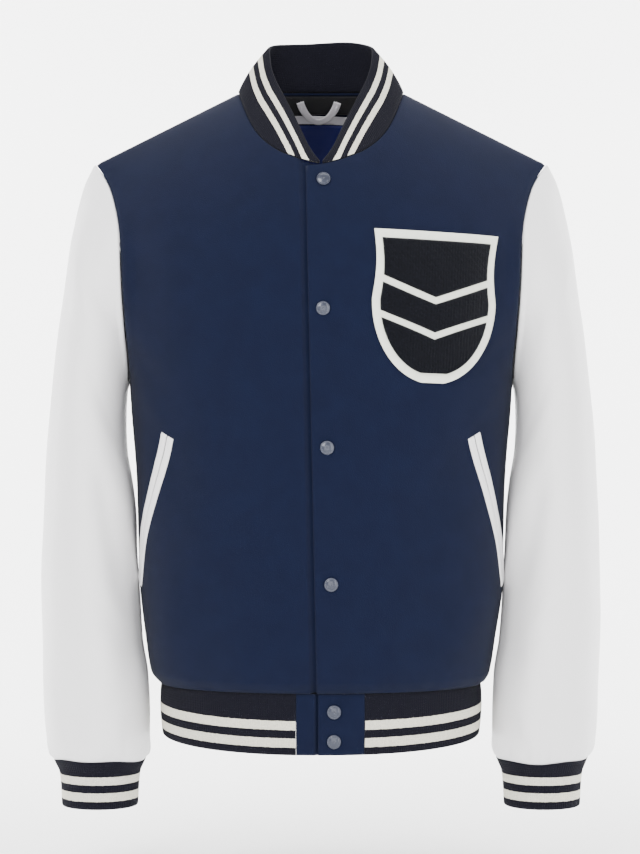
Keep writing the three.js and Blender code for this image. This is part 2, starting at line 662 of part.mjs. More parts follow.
// Collar seam points round the neck, from the right V end over the back to the left one
function neckRing(back) {
  const half = NECK_POINTS.slice(1).map((x) => facePoint(-1, x, necklineZ(x)));
  const start = facePoint(-1, COLLAR_END_X, necklineZ(COLLAR_END_X)).add(vec(0, 0, COLLAR_GAP));
  const left = [start, ...half].map((p) => p.clone());
  const top = back[back.length - 1];
  const middle = (top.length - 1) / 2;
  const over = top.slice(middle - BACK_NECK_COLUMNS + 1, middle + BACK_NECK_COLUMNS).map((p) => p.clone());
  const right = left.map((p) => vec(-p.x, p.y, p.z));
  left[left.length - 1].setY(0);
  right[right.length - 1].setY(0);
  return [...right, ...over, ...left.reverse()];
}

function makeCollar(back) {
  const ring = neckRing(back);
  const middle = (ring.length - 1) / 2;
  const lengths = ring.map((_, j) => {
    const way = j < middle ? 1 : -1;
    let sum = 0;
    for (let m = j; m !== middle; m += way) sum += ring[m].distanceTo(ring[m + way]);
    return sum;
  });
  const rows = count(COLLAR_ROWS + 1).map((i) => ring.map((foot, j) => {
    const u = lengths[j] / lengths[0];
    const side = j < middle ? -1 : 1;
    const top = vec(side * follow(COLLAR, 'u', 'x', u), follow(COLLAR, 'u', 'y', u), follow(COLLAR, 'u', 'z', u));
    const rise = top.clone().sub(foot);
    const share = mix(COLLAR_GAP / rise.length(), 1, i / COLLAR_ROWS);
    const bulge = 0.05 * rise.length() * Math.sin(Math.PI * share);
    const out = vec(foot.x * 0.5, foot.y * 0.5, 0).normalize();
    return foot.clone().addScaledVector(rise, share).addScaledVector(out, bulge);
  }));
  const foot = ring.map((p) => {
    const out = faceNormal(p.y < 0 ? -1 : 1, turnAt(p.x, p.z), p.z);
    return Math.abs(p.y) < 1 ? out.setY(0).normalize() : out;
  });
  return ribbedWall(rows, false, -1, KNIT, foot);
}

// A strip laid on the body: place(u, v) gives x and z, and the strip stands from low to high
function laid(face, columns, rows, place, low, high) {
  const outer = [];
  const inner = [];
  for (let i = 0; i <= rows; i += 1) {
    const at = count(columns + 1).map((j) => place(j / columns, i / rows));
    outer.push(at.map(([x, z]) => raised(face, x, z, high)));
    inner.push(at.map(([x, z]) => raised(face, x, z, low)));
  }
  return shell(outer, inner, false);
}

// A pocket welt: rows along the slit, offset to one side of it by surface distance
function makeWelt(side, from, to) {
  const rows = count(WELT_ROWS + 1).map((i) => {
    const z = mix(SLIT[0].z, SLIT[3].z, i / WELT_ROWS);
    const x = follow([...SLIT].reverse(), 'z', 'x', z);
    return { z, turn: turnAt(x, z) };
  });
  const point = (row, offset, height) => {
    const z = row.z + offset * WELT_SLANT;
    const step = 0.002;
    const speed = bodyPoint(-1, row.turn + step, z).distanceTo(bodyPoint(-1, row.turn - step, z)) / (2 * step);
    const turn = Math.min(Math.PI / 2 - 0.02, row.turn + (offset * Math.sqrt(1 - WELT_SLANT ** 2)) / speed);
    const at = bodyPoint(-1, side * turn, z);
    const fold = foldHeight(BODY_FOLDS, -1, at.x, at.z);
    return at.addScaledVector(faceNormal(-1, side * turn, z), height + fold);
  };
  const offsets = [from, (from + to) / 2, to];
  const high = rows.map((row) => offsets.map((w) => point(row, w, LAID_GAP + WELT_THICK)));
  const low = rows.map((row) => offsets.map((w) => point(row, w, LAID_GAP)));
  return shell(high, low, false);
}

// Half width of the shield, as a share of its width, at a share of its height from the top
const shieldHalf = (v) => 0.5 * (v < 0.45 ? 1 - 0.05 * Math.sin((Math.PI * v) / 0.45) : (1 - ((v - 0.45) / 0.55) ** 2) ** 0.5);

function patchPlace(x, z) {
  const dx = x * Math.cos(PATCH.tilt) - z * Math.sin(PATCH.tilt);
  const dz = x * Math.sin(PATCH.tilt) + z * Math.cos(PATCH.tilt);
  return [PATCH.x + dx, PATCH.z + dz];
}

function makePatchGround() {
  return laid(-1, 8, 10, (u, v) => {
    const level = Math.min(v, 0.992);
    const x = (2 * u - 1) * PATCH.width * shieldHalf(level);
    return patchPlace(x, PATCH.height * (0.5 - level));
  }, PATCH_GAP, PATCH_GAP + FELT);
}

// A chenille field between two chevron lines, inside the shield's border
function makePatchField(field) {
  const wide = PATCH.width - 2 * PATCH_BORDER;
  const high = PATCH.height - 2.2 * PATCH_BORDER;
  const low = PATCH_GAP + FELT + LAID_GAP;
  return laid(-1, 6, 4, (u, v) => {
    const drop = CHEVRON_DROP * (1 - Math.abs(2 * u - 1));
    const topDrop = field.from > 0 ? drop + PATCH_FIELD_GAP / 2 : 0;
    const endDrop = field.to < 1 ? drop - PATCH_FIELD_GAP / 2 : 0;
    const down = mix(field.from * high + topDrop, field.to * high + endDrop, v);
    const level = Math.min(down / high, 0.985);
    return patchPlace((2 * u - 1) * wide * shieldHalf(level), high * (0.5 - level));
  }, low, low + CHENILLE);
}

function makeSnap() {
  const profile = [
    [0, 0], [SNAP_RADIUS - 0.4, 0], [SNAP_RADIUS, 1.1], [SNAP_RADIUS - 1.2, 2.2],
    [SNAP_RADIUS - 3.4, SNAP_HEIGHT], [0, SNAP_HEIGHT - 0.3],
  ].map(([r, h]) => new THREE.Vector2(r, h));
  return new THREE.LatheGeometry(profile, 14);
}

function addSnap(name, at, out) {
  const mesh = new THREE.Mesh(makeSnap(), new THREE.MeshStandardMaterial(BLUE_GREY_METAL));
  mesh.name = name;
  mesh.position.copy(at);
  mesh.quaternion.setFromUnitVectors(vec(0, 1, 0), out);
  group.add(mesh);
}

// Point on the facets of a panel's outer grid at a given x and z, with their direction there
function facetAt(grid, face, x, z) {
  for (let i = grid.length - 2; i >= 0; i -= 1) {
    for (let j = 0; j < grid[i].length - 1; j += 1) {
      const corners = [grid[i][j], grid[i][j + 1], grid[i + 1][j + 1], grid[i + 1][j]];
      for (const [a, b, c] of [[corners[0], corners[1], corners[2]], [corners[0], corners[2], corners[3]]]) {
        const area = (b.x - a.x) * (c.z - a.z) - (c.x - a.x) * (b.z - a.z);
        const s = ((x - a.x) * (c.z - a.z) - (c.x - a.x) * (z - a.z)) / area;
        const t = ((b.x - a.x) * (z - a.z) - (x - a.x) * (b.z - a.z)) / area;
        if (s >= -1e-6 && t >= -1e-6 && s + t <= 1 + 1e-6) {
          const at = a.clone().addScaledVector(b.clone().sub(a), s).addScaledVector(c.clone().sub(a), t);
          const out = b.clone().sub(a).cross(c.clone().sub(a)).normalize();
          return { at, out: out.multiplyScalar(Math.sign(out.y) * face) };
        }
      }
    }
  }
  throw new Error(`no facet at ${x}, ${z}`);
}

// A strip that lines the inside of the back, from top to end below the neck seam
function makeInnerStrip(back, { halfWidth, x, top, end }, thick) {
  const columns = 8;
  const face = (u, v, depth) => {
    const across = x + halfWidth * (2 * u - 1);
    const z = backTopZ(across) - BACK_NECK_Z + mix(top, end, v);
    const { at, out } = facetAt(back, 1, across, z);
    return at.addScaledVector(out, -depth);
  };
  const grid = (depth) => [0, 0.5, 1].map((v) => count(columns + 1).map((j) => face(j / columns, v, depth)));
  return shell(grid(UNDER_WOOL), grid(UNDER_WOOL + thick), false);
}

function makeHangerLoop(back) {
  const steps = 12;
  const line = count(steps + 1).map((i) => {
    const t = (2 * i) / steps - 1;
    const x = LOOP.x + LOOP.halfSpan * t;
    const z = LOOP.top - LOOP.sag * (1 - t ** 2) ** 0.8;
    const { at, out } = facetAt(back, 1, x, z);
    at.addScaledVector(out, -(UNDER_WOOL + TAPE_THICK + LAID_GAP + LOOP.off));
    return at.add(vec(0, -LOOP.swing * (1 - t ** 4), 0));
  });
  const grid = (deep) => line.map((p, i) => {
    const before = line[Math.max(0, i - 1)];
    const after = line[Math.min(steps, i + 1)];
    const along = after.clone().sub(before).setY(0).normalize();
    const across = vec(-along.z, 0, along.x);
    return [-0.5, 0.5].map((s) => p.clone().addScaledVector(across, s * LOOP.width).add(vec(0, -deep, 0)));
  });
  return shell(grid(0), grid(LOOP.thick), false);
}

const left = makeFront(1);
const right = makeFront(-1);
const backOuter = backGrid();
add('front_left', left.geometry, NAVY_WOOL);
add('front_right', right.geometry, NAVY_WOOL);
add('back', cloth(backOuter, WOOL, false, -1, bodySeam(backOuter, 1)), NAVY_WOOL);
add('sleeve_left', makeSleeve(1, armholeRing(1, left.grid, backOuter)), IVORY_LEATHER);
add('sleeve_right', makeSleeve(-1, armholeRing(-1, right.grid, backOuter)), IVORY_LEATHER);
add('cuff_left', makeCuff(1), NAVY_KNIT);
add('cuff_right', makeCuff(-1), NAVY_KNIT);
add('collar', makeCollar(backOuter), NAVY_KNIT);
add('hem_rib', makeHemRib(), NAVY_KNIT);
add('hem_block_left', makeHemBlock(BLOCK_LEFT.from, BLOCK_LEFT.to, 0), NAVY_WOOL);
add('hem_block_right', makeHemBlock(BLOCK_RIGHT.from, BLOCK_RIGHT.to, BLOCK_WALL + 0.6), NAVY_WOOL);

for (const [side, name] of [[1, 'left'], [-1, 'right']]) {
  const near = WELT_SLIT / 2;
  add(`welt_inner_${name}`, makeWelt(side, -near - WELT_WIDTH, -near), IVORY_LEATHER);
  add(`welt_outer_${name}`, makeWelt(side, near, near + WELT_WIDTH), IVORY_LEATHER);
}

add('patch_felt', makePatchGround(), IVORY_FELT);
for (const field of PATCH_FIELDS) add(`patch_chenille_${field.name}`, makePatchField(field), DARK_CHENILLE);

SNAPS.forEach((snap, i) => {
  if (snap.z > BODY_END_Z) {
    const { at, out } = facetAt(left.grid, -1, snap.x, snap.z);
    addSnap(`snap_${i + 1}`, at.addScaledVector(out, LAID_GAP), out);
  } else {
    const t = (HEM_TOP_Z - snap.z) / (HEM_TOP_Z - HEM_SIDE_END_Z + HEM_FRONT_DIP);
    addSnap(`snap_${i + 1}`, hemPoint(hemTurn(snap.x), t).add(vec(0, -LAID_GAP, 0)), vec(0, -1, 0));
  }
});

add('neck_tape', makeInnerStrip(backOuter, TAPE, TAPE_THICK), BLACK_TAPE);
add('neck_piping', makeInnerStrip(backOuter, PIPING, TAPE_THICK), PALE_TAPE);
add('label', makeInnerStrip(backOuter, LABEL, TAPE_THICK), BLUE_LABEL);
add('hanger_loop', makeHangerLoop(backOuter), PALE_TAPE);

export default group;
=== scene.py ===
"""Varsity jacket, filled out and empty: wool body, leather sleeves, striped rib bands and a chest patch."""
import math

import bpy
import numpy as np
from bpy.props import FloatProperty, FloatVectorProperty, IntProperty, PointerProperty
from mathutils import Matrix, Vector


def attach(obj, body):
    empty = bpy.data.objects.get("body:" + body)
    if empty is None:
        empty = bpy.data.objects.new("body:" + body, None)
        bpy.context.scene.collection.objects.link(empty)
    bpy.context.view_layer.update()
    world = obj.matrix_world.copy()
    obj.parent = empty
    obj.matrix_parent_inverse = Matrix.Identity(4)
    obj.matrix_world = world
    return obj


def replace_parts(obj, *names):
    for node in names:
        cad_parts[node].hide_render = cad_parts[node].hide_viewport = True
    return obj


bl_info = {
    "name": "Varsity Jacket",
    "version": (1, 0, 0),
    "blender": (4, 5, 0),
    "location": "View3D > Sidebar > Jacket",
    "description": "Builds a wool and leather varsity jacket with striped rib bands",
    "category": "Add Mesh",
}

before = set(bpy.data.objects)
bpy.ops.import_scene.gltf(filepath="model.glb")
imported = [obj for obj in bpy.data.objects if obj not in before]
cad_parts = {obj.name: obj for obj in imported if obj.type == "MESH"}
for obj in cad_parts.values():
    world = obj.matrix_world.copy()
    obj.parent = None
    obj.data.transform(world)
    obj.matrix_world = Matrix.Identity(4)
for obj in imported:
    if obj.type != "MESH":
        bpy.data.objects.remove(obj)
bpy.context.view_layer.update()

# Body sections: height, half width, depth of the front and of the back, in metres
BODY = np.array([
    [-0.612, 0.167, 0.124, 0.121],
    [-0.600, 0.175, 0.130, 0.127],
    [-0.570, 0.180, 0.133, 0.130],
    [-0.500, 0.1885, 0.135, 0.132],
    [-0.413, 0.1905, 0.133, 0.131],
    [-0.330, 0.197, 0.130, 0.130],
    [-0.300, 0.199, 0.130, 0.130],
    [-0.246, 0.213, 0.130, 0.131],
    [-0.205, 0.226, 0.130, 0.132],
    [-0.163, 0.236, 0.130, 0.132],
    [-0.122, 0.242, 0.130, 0.132],
    [-0.074, 0.244, 0.130, 0.132],
    [0.060, 0.244, 0.130, 0.132],
])
SECTION_POWER = 2.2
SHOULDER_POWER = 0.72
SHOULDER_DROP = {-1: 0.240, 1: 0.120}
SHOULDER_SLOPE = 0.5
RIDGE_ROUND = 0.040
NECK_X = 0.086
TIP_X = 0.234
TIP_Z = -0.074
UNDERARM_Z = -0.300
BODY_END_Z = -0.612
BACK_NECK_Z = 0.008
SEAM_GAP = 0.0003
LAID_GAP = 0.00035

# Armhole edge: height, x
ARMHOLE = np.array([
    [-0.300, 0.1986], [-0.290, 0.198], [-0.246, 0.2005], [-0.205, 0.203], [-0.163, 0.205],
    [-0.142, 0.207], [-0.122, 0.211], [-0.101, 0.2176], [-0.084, 0.227], [TIP_Z, TIP_X],
])
# Front neckline: x, height
NECKLINE = np.array([
    [-0.025, -0.0866], [-0.0155, -0.086], [0, -0.084], [0.017, -0.080], [0.029, -0.0754],
    [0.042, -0.0695], [0.0576, -0.0575], [0.067, -0.046], [0.0746, -0.0316], [0.081, -0.015], [NECK_X, 0],
])
# Lap edge: height, x
LAP = np.array([[-0.700, -0.0025], [-0.086, -0.0155]])
UNDERLAP = 0.025
UNDERLAP_STEP = 0.0037
STEP_START = 0.008
STEP_END = 0.0015
# The flat part under the lap ends at least this far from the under front's edge; the curved part
# begins at least that far from it
UNDERLAP_FLAT = 0.004
UNDERLAP_LAST = 0.009

# Rows of the body panels, from the hem seam to the underarm and from there to the shoulder
BODY_ROWS = np.array([
    -0.612, -0.606, -0.598, -0.584, -0.560, -0.530, -0.496, -0.462, -0.430, -0.398, -0.366, -0.334, -0.300,
])
ARMHOLE_ROWS = np.array([
    -0.300, -0.288, -0.270, -0.245, -0.215, -0.185, -0.158, -0.135, -0.115, -0.098, -0.085, TIP_Z,
])
NECK_POINTS = np.array([-0.0155, 0.008, 0.029, 0.045, 0.060, 0.071, 0.080, NECK_X])
LAST_BODY_ROW = len(BODY_ROWS) - 1
TOP_ROW = LAST_BODY_ROW + len(ARMHOLE_ROWS) - 1
NECK_ROW = TOP_ROW - len(NECK_POINTS) + 1

FRONT_COLUMNS = 112
STEP_COLUMNS = 8
BACK_COLUMNS = 190
# Seams draw the cloth in: depth, and reach at each edge; panels join edge to edge over LEVEL_REACH
SEAM_DIP = 0.0009
SEAM_REACH = {"hem": 0.0030, "side": 0.0028, "top": 0.0026, "lap": 0.0012}
LEVEL_REACH = 0.006
# How far from a seam the folds and creases die out
FOLD_FADE = 0.022
CREASE_FADE = 0.006
# Unevenness of the body cloth: height, wave length, where it dies out or begins
SWELL = {"height": 0.0007, "length": 0.110, "fade": 0.020}
GATHER = {"height": 0.0012, "length": 0.034, "fine": 0.015, "reach": 0.020, "fade": 0.004}
PUCKER = {"height": 0.0003, "length": 0.012, "reach": 0.012, "fade": 0.002}

# Seeds of the uneven cloth: right front, left front, back
PANEL_SEEDS = {-1: 5, 1: 11}
BACK_SEED = 17

# Soft folds of the body: face, from x, z to x, z, reach, rise
BODY_FOLDS = np.array([
    [-1, 0.178, -0.330, 0.120, -0.420, 0.026, -0.003],
    [-1, -0.178, -0.330, -0.130, -0.430, 0.026, -0.003],
    [-1, 0.168, -0.520, 0.120, -0.585, 0.022, 0.003],
    [-1, -0.150, -0.500, -0.158, -0.590, 0.022, 0.003],
    [-1, 0.060, -0.560, 0.085, -0.600, 0.020, 0.002],
    [-1, -0.070, -0.560, -0.090, -0.600, 0.020, 0.002],
    [-1, 0.190, -0.160, 0.165, -0.260, 0.022, -0.003],
    [-1, -0.190, -0.160, -0.168, -0.270, 0.022, -0.003],
    [1, 0.185, -0.180, 0.150, -0.320, 0.026, -0.004],
    [1, -0.185, -0.180, -0.155, -0.310, 0.026, -0.004],
    [1, 0.150, -0.480, 0.110, -0.590, 0.024, 0.003],
    [1, -0.140, -0.470, -0.120, -0.590, 0.024, 0.003],
    [1, 0.020, -0.540, 0.005, -0.600, 0.024, 0.003],
])
# Finer creases of the body, the same columns
BODY_CREASES = np.array([
    [-1, 0.198, -0.255, 0.150, -0.300, 0.008, -0.0013],
    [-1, -0.198, -0.265, -0.150, -0.315, 0.009, -0.0014],
    [-1, 0.190, -0.300, 0.145, -0.352, 0.007, 0.0010],
    [-1, -0.188, -0.305, -0.150, -0.360, 0.008, 0.0011],
    [-1, 0.010, -0.120, 0.012, -0.205, 0.010, 0.0007],
    [-1, -0.118, -0.350, -0.128, -0.520, 0.020, 0.0012],
    [-1, 0.095, -0.380, 0.112, -0.520, 0.022, -0.0012],
    [1, 0.195, -0.240, 0.130, -0.300, 0.010, -0.0016],
    [1, -0.195, -0.250, -0.135, -0.305, 0.010, -0.0016],
    [1, 0.060, -0.060, -0.060, -0.064, 0.012, -0.0010],
])

# Sleeve rings: place along it, outer edge x, z, inner edge x, z, half depth, forward lean
SLEEVE = np.array([
    [0.000, 0.2340, -0.074, 0.1986, -0.300, 0.064, 0.000],
    [0.050, 0.2445, -0.093, 0.2020, -0.313, 0.066, 0.000],
    [0.100, 0.2520, -0.118, 0.2030, -0.328, 0.067, 0.000],
    [0.180, 0.2600, -0.158, 0.2025, -0.350, 0.068, 0.000],
    [0.260, 0.2660, -0.203, 0.2010, -0.374, 0.068, -0.001],
    [0.350, 0.2725, -0.255, 0.1955, -0.403, 0.067, -0.008],
    [0.450, 0.2785, -0.315, 0.1912, -0.438, 0.065, -0.016],
    [0.550, 0.2830, -0.378, 0.1892, -0.478, 0.063, -0.019],
    [0.650, 0.2860, -0.443, 0.1870, -0.520, 0.061, -0.020],
    [0.750, 0.2880, -0.510, 0.1838, -0.564, 0.060, -0.020],
    [0.850, 0.2870, -0.574, 0.1778, -0.604, 0.058, -0.020],
    [0.930, 0.2860, -0.632, 0.1765, -0.647, 0.056, -0.017],
    [0.975, 0.2825, -0.671, 0.1765, -0.674, 0.0535, -0.018],
    [1.000, 0.2760, -0.688, 0.1800, -0.688, 0.050, -0.018],
])
HEAD_BLEND = 0.2
# Folds of a sleeve seen from the front, mirrored on the other one: face, x, z, x, z, reach, rise
SLEEVE_FOLDS = np.array([
    [-1, 0.246, -0.165, 0.234, -0.212, 0.015, -0.004],
    [-1, 0.219, -0.205, 0.211, -0.270, 0.014, -0.003],
    [-1, 0.222, -0.398, 0.209, -0.462, 0.013, -0.006],
    [-1, 0.209, -0.462, 0.190, -0.530, 0.013, -0.008],
    [-1, 0.190, -0.530, 0.186, -0.610, 0.015, -0.005],
    [-1, 0.240, -0.490, 0.216, -0.600, 0.017, 0.005],
    [-1, 0.264, -0.628, 0.245, -0.668, 0.011, -0.004],
    [-1, 0.205, -0.632, 0.212, -0.675, 0.010, 0.003],
    [1, 0.215, -0.400, 0.245, -0.470, 0.016, -0.007],
    [1, 0.212, -0.450, 0.250, -0.520, 0.015, 0.005],
    [1, 0.246, -0.150, 0.215, -0.240, 0.016, -0.004],
    [1, 0.262, -0.612, 0.235, -0.668, 0.012, -0.004],
])

# Finer creases of each sleeve, the same columns, seen as on the wearer's left
SLEEVE_CREASES = {
    1: np.array([
        [-1, 0.232, -0.120, 0.222, -0.190, 0.010, 0.0016],
        [-1, 0.252, -0.130, 0.246, -0.200, 0.008, -0.0012],
        [-1, 0.240, -0.320, 0.214, -0.380, 0.010, -0.0014],
        [-1, 0.230, -0.520, 0.205, -0.560, 0.009, 0.0016],
        [-1, 0.262, -0.560, 0.232, -0.610, 0.010, -0.0014],
        [-1, 0.222, -0.590, 0.232, -0.650, 0.009, -0.0018],
        [-1, 0.250, -0.640, 0.240, -0.685, 0.007, 0.0014],
        [1, 0.225, -0.330, 0.262, -0.380, 0.010, -0.0016],
        [1, 0.215, -0.560, 0.260, -0.600, 0.010, 0.0016],
    ]),
    -1: np.array([
        [-1, 0.236, -0.125, 0.224, -0.185, 0.010, -0.0013],
        [-1, 0.228, -0.225, 0.214, -0.262, 0.009, 0.0018],
        [-1, 0.246, -0.350, 0.216, -0.412, 0.011, -0.0013],
        [-1, 0.226, -0.498, 0.202, -0.545, 0.009, 0.0018],
        [-1, 0.268, -0.600, 0.244, -0.650, 0.010, -0.0016],
        [-1, 0.214, -0.610, 0.226, -0.662, 0.009, 0.0016],
        [1, 0.220, -0.350, 0.258, -0.410, 0.010, -0.0016],
        [1, 0.218, -0.575, 0.255, -0.625, 0.010, 0.0014],
    ]),
}
SLEEVE_ROWS = 150
# Unevenness of a sleeve: its slow swell, the gathers over the cuff and the puckers at the armhole
SLEEVE_SWELL = {"height": 0.0009, "length": 0.090, "fade": 0.020, "seed": 31}
SLEEVE_FOLD_FADE = 0.016
SLEEVE_CREASE_FADE = 0.005
CUFF_GATHER = {"rise": 0.0011, "height": 0.0007, "reach": 0.016, "fade": 0.006}
ARMHOLE_PUFF = {"rise": 0.0007, "height": 0.00018, "reach": 0.009, "fade": 0.003}
SLEEVE_GAP = (0.00045, 0, -0.0001)
SLEEVE_GAP_SHARE = 0.03
SLEEVE_DIPS = {"armhole": 0.0022, "cuff": 0.0026, "cuff_depth": 1.3}
# The cuff seam rises and falls round the wrist: waves round it, height, shift
CUFF_SEAM_WAVES = ((2, 0.0012, 1.0), (5, 0.0007, 2.1))
SEAM_WAVE_REACH = 0.010

# Rib bands
CUFF_AT = {"x": 0.228, "y": -0.018, "top": -0.6884, "end": -0.737}
# Cuff: share of the way down, half width, half depth
CUFF = np.array([
    [0.00, 0.0470, 0.0490], [0.10, 0.0445, 0.0470], [0.28, 0.0410, 0.0436],
    [0.55, 0.0396, 0.0420], [1.00, 0.0385, 0.0410],
])
# Stripes of a band: from and to, as distances from its free edge
CUFF_STRIPES = ((0.0085, 0.0172), (0.0254, 0.0337))
HEM_STRIPES = ((0.0080, 0.0172), (0.0255, 0.0345))
COLLAR_STRIPES = ((0.0115, 0.0192), (0.0277, 0.0357))
HEM_HALF = (0.1655, 0.1635)
HEM_FRONT = (0.1225, 0.121)
HEM_BACK = (0.1195, 0.118)
HEM_BULGE = 0.0015
HEM_TOP_Z = BODY_END_Z - SEAM_GAP
HEM_SIDE_END_Z = -0.664
HEM_FRONT_DIP = 0.0095
HEM_BACK_DIP = 0.004
RIB_COLUMNS = 4
# The inside of a band is plain: its UV map is moved past the stripes
PLAIN_INSIDE = 1.0
BAND_ROWS = 16
COLLAR_ROWS = 18
BLOCK_COLUMNS = 28
EDGE_TURN = 0.0022
EDGE_ROWS = 6
COLLAR_BULGE = 0.05
# Waves of the collar's free edge: how many, height, shift
COLLAR_WAVES = ((7, 0.0008, 0.6), (13, 0.0006, 0.0))
NECK_SAMPLES = 300
BACK_NECK_SAMPLES = 400
NECK_FADE = 0.004
HEM_SAMPLES = 4000
RIB_AT_SEAM = 0.35
RIB_FADE = 0.005
UNDER_BLOCK_STEP = 0.0036
UNDER_BLOCK_START = 0.004
UNDER_BLOCK_REACH = 0.0024
BLOCK_LEFT = (-0.0028, 0.0434)
BLOCK_RIGHT = (-0.0249, 0.021)
# Collar edge above the neckline seam: share of the way from the middle back to the V, x, y, z
COLLAR = np.array([
    [0.00, 0.0000, 0.051, 0.0590],
    [0.14, 0.0260, 0.047, 0.0585],
    [0.28, 0.0450, 0.034, 0.0560],
    [0.40, 0.0540, 0.013, 0.0490],
    [0.52, 0.0520, -0.008, 0.0300],
    [0.62, 0.0460, -0.024, 0.0100],
    [0.70, 0.0396, -0.038, -0.0040],
    [0.79, 0.0300, -0.055, -0.0240],
    [0.87, 0.0205, -0.073, -0.0450],
    [0.94, 0.0110, -0.090, -0.0660],
    [1.00, 0.0016, -0.103, -0.0810],
])
COLLAR_END_X = 0.0016
COLLAR_GAP = 0.0006

# Pocket slit: height, x; the welts lie on both sides of it
SLIT = np.array([[-0.508, 0.1856], [-0.470, 0.1824], [-0.416, 0.1705], [-0.356, 0.1555]])
WELT_WIDTH = 0.0082
WELT_SLIT = 0.0012
WELT_SLANT = 0.42
WELT_ROWS = 80
WELT_COLUMNS = 14
WELT_SOFT = {"height": 0.00025, "length": 0.020, "seed": 51}

PATCH = {"x": 0.113, "z": -0.229, "width": 0.126, "height": 0.152, "tilt": -0.035}
PATCH_GAP = 0.0006
PATCH_BORDER = 0.008
PATCH_FIELD_GAP = 0.007
PATCH_FIELDS = {"top": (0.0, 0.3), "middle": (0.3, 0.56), "bottom": (0.56, 1.0)}
CHEVRON_DROP = 0.020
SHIELD_TURN = 0.45
SHIELD_TIP = 0.992
# Chenille: distance from row to row and loop to loop, grid step, and width of its rounded edge
PILE_ROW = 0.0028
PILE_LOOP = 0.0024
PILE_STEP = 0.0009
PILE_COLUMNS = 120
PILE_EDGE = 0.0030
PILE_SEED = 61
# Rows sway by this much over this length; loops are uneven over the last length
PILE_SWAY = {"reach": 0.0006, "length": 0.020, "rough": 0.004}
# Lowest loop and lowest edge of the pile, as shares of its height
PILE_LOW = 0.62
PILE_EDGE_LOW = 0.25
PATCH_ENDS = 2.2
FELT_COLUMNS = 60
FELT_ROWS = 70
FIELD_TIP = 0.985

SNAPS = {
    "snap_1": (0.0025, -0.1005), "snap_2": (0.002, -0.230), "snap_3": (0.006, -0.368),
    "snap_4": (0.010, -0.503), "snap_5": (0.0129, -0.630), "snap_6": (0.0129, -0.6595),
}
# Snap cap: radius and height of its profile as shares of the radius
SNAP_PROFILE = np.array([
    [0.90, 0.000], [0.97, 0.030], [1.00, 0.100], [0.995, 0.170], [0.96, 0.225], [0.91, 0.245],
    [0.86, 0.235], [0.82, 0.225], [0.76, 0.245], [0.62, 0.290], [0.42, 0.330], [0.20, 0.355],
    [0.002, 0.362],
])
SNAP_SIDES = 64
# The cap's hollow underside, as shares of its outside's radius and height
SNAP_UNDER = (0.9, 0.35)
STRIP_COLUMNS = 60
STRIP_ROWS = 18
TAPE = {"half": 0.060, "x": 0.0, "top": 0.0065, "end": -0.0105, "slope": 0}
PIPING = {"half": 0.032, "x": -0.0015, "top": -0.0118, "end": -0.0195, "slope": -0.0008}
LABEL = {"half": 0.036, "x": -0.001, "top": -0.0205, "end": -0.072, "slope": 0}
LOOP = {"x": -0.0024, "half": 0.021, "top": 0.0025, "sag": 0.018, "width": 0.008, "thick": 0.0012,
        "off": 0.0018, "swing": 0.005}
LOOP_TWIST = 0.9
LOOP_STEPS = 90
LOOP_COLUMNS = 8
UNDER_GAP = 0.0008
# Thread: stitch pitch, and cells of a stitch
STITCH_PITCH = 0.0030
STITCH_SIDES = 6
STITCH_RINGS = 5
# Rows of stitches along the neck tape: shares of the way down it, end gap, depth in the tape, share
# of the pitch that a stitch fills, radius of the thread
TAPE_SEWING = {"rows": (0.16, 0.84), "end": 0.003, "depth": 0.86, "fill": 0.8, "radius": 0.00030}
# Bar tacks of the loop: shares of the way along it, lines and stitches, length and thread radius
TACKS = {"from": 0.90, "to": 0.965, "lines": 5, "across": 8, "length": 0.0009, "radius": 0.00022}

# The photograph's view: 640 by 854 pixels
CAMERA_AT = (-0.001, -2.6, -0.3474)
CAMERA_LENS = 105.4
FLOOR_Z = -0.80
# Lights: name, place, width and height, watts
LAMPS = (
    ("key", (-1.5, -2.6, 1.4), (1.8, 1.8), 100),
    ("fill", (2.0, -2.3, 0.3), (1.8, 2.2), 56),
    ("front", (0.0, -3.6, -0.2), (2.0, 2.0), 40),
    ("top", (0.0, 0.2, 2.2), (2.4, 2.0), 45),
)
# Lights that whiten the sweep behind the jacket, turned away from it
SWEEP_LAMPS = (
    ("sweep_left", (-1.6, 0.7, 0.2), (0.8, 2.4), 110),
    ("sweep_right", (1.6, 0.7, 0.2), (0.8, 2.4), 110),
)
WORLD_LIGHT = 1.5
# Pale sweep: half width, front edge, where it bends up, radius of the bend, height
SWEEP = {"half": 4.0, "front": -4.0, "bend": 1.2, "radius": 1.0, "top": 3.5}
SWEEP_STEPS = 24
JACKET_MIDDLE = (0, 0, -0.35)
SWEEP_MIDDLE = (0, 2.4, -0.2)
# Scales of the noise patterns, in cells to the metre. Wool: patches of 22 mm, tufts of 1.1 mm.
WOOL_PATCH, WOOL_NAP = 45.0, 900.0
# Leather: uneven grain every 4 mm, pebbles of 1.2 mm, wrinkles of 8 mm
LEATHER_WARP, LEATHER_PEBBLE, LEATHER_WRINKLE = 260.0, 820.0, 120.0
# Knit: stripe edges that shift every 2.4 mm, yarn flecks of 1.7 mm
KNIT_JITTER, KNIT_FLECK = 420.0, 600.0
# Felt: patches of 6 mm, fibres of 0.7 mm. Chenille: tufts of 2 mm, fluff of 0.6 mm.
FELT_PATCH, FELT_FIBRE = 160.0, 1400.0
CHENILLE_TUFT, CHENILLE_FLUFF = 500.0, 1800.0
# Scales of the wave patterns, whose waves are 0.314 m over the scale: stitches of 2.4 mm, and threads
# of 0.95, 0.75 and 0.45 mm
STITCH_WAVES = 130.0
TWILL_WAVES = 330.0
TAPE_WAVES = 420.0
LABEL_WAVES = 700.0

# Materials made so far, by name
MATERIALS = {}


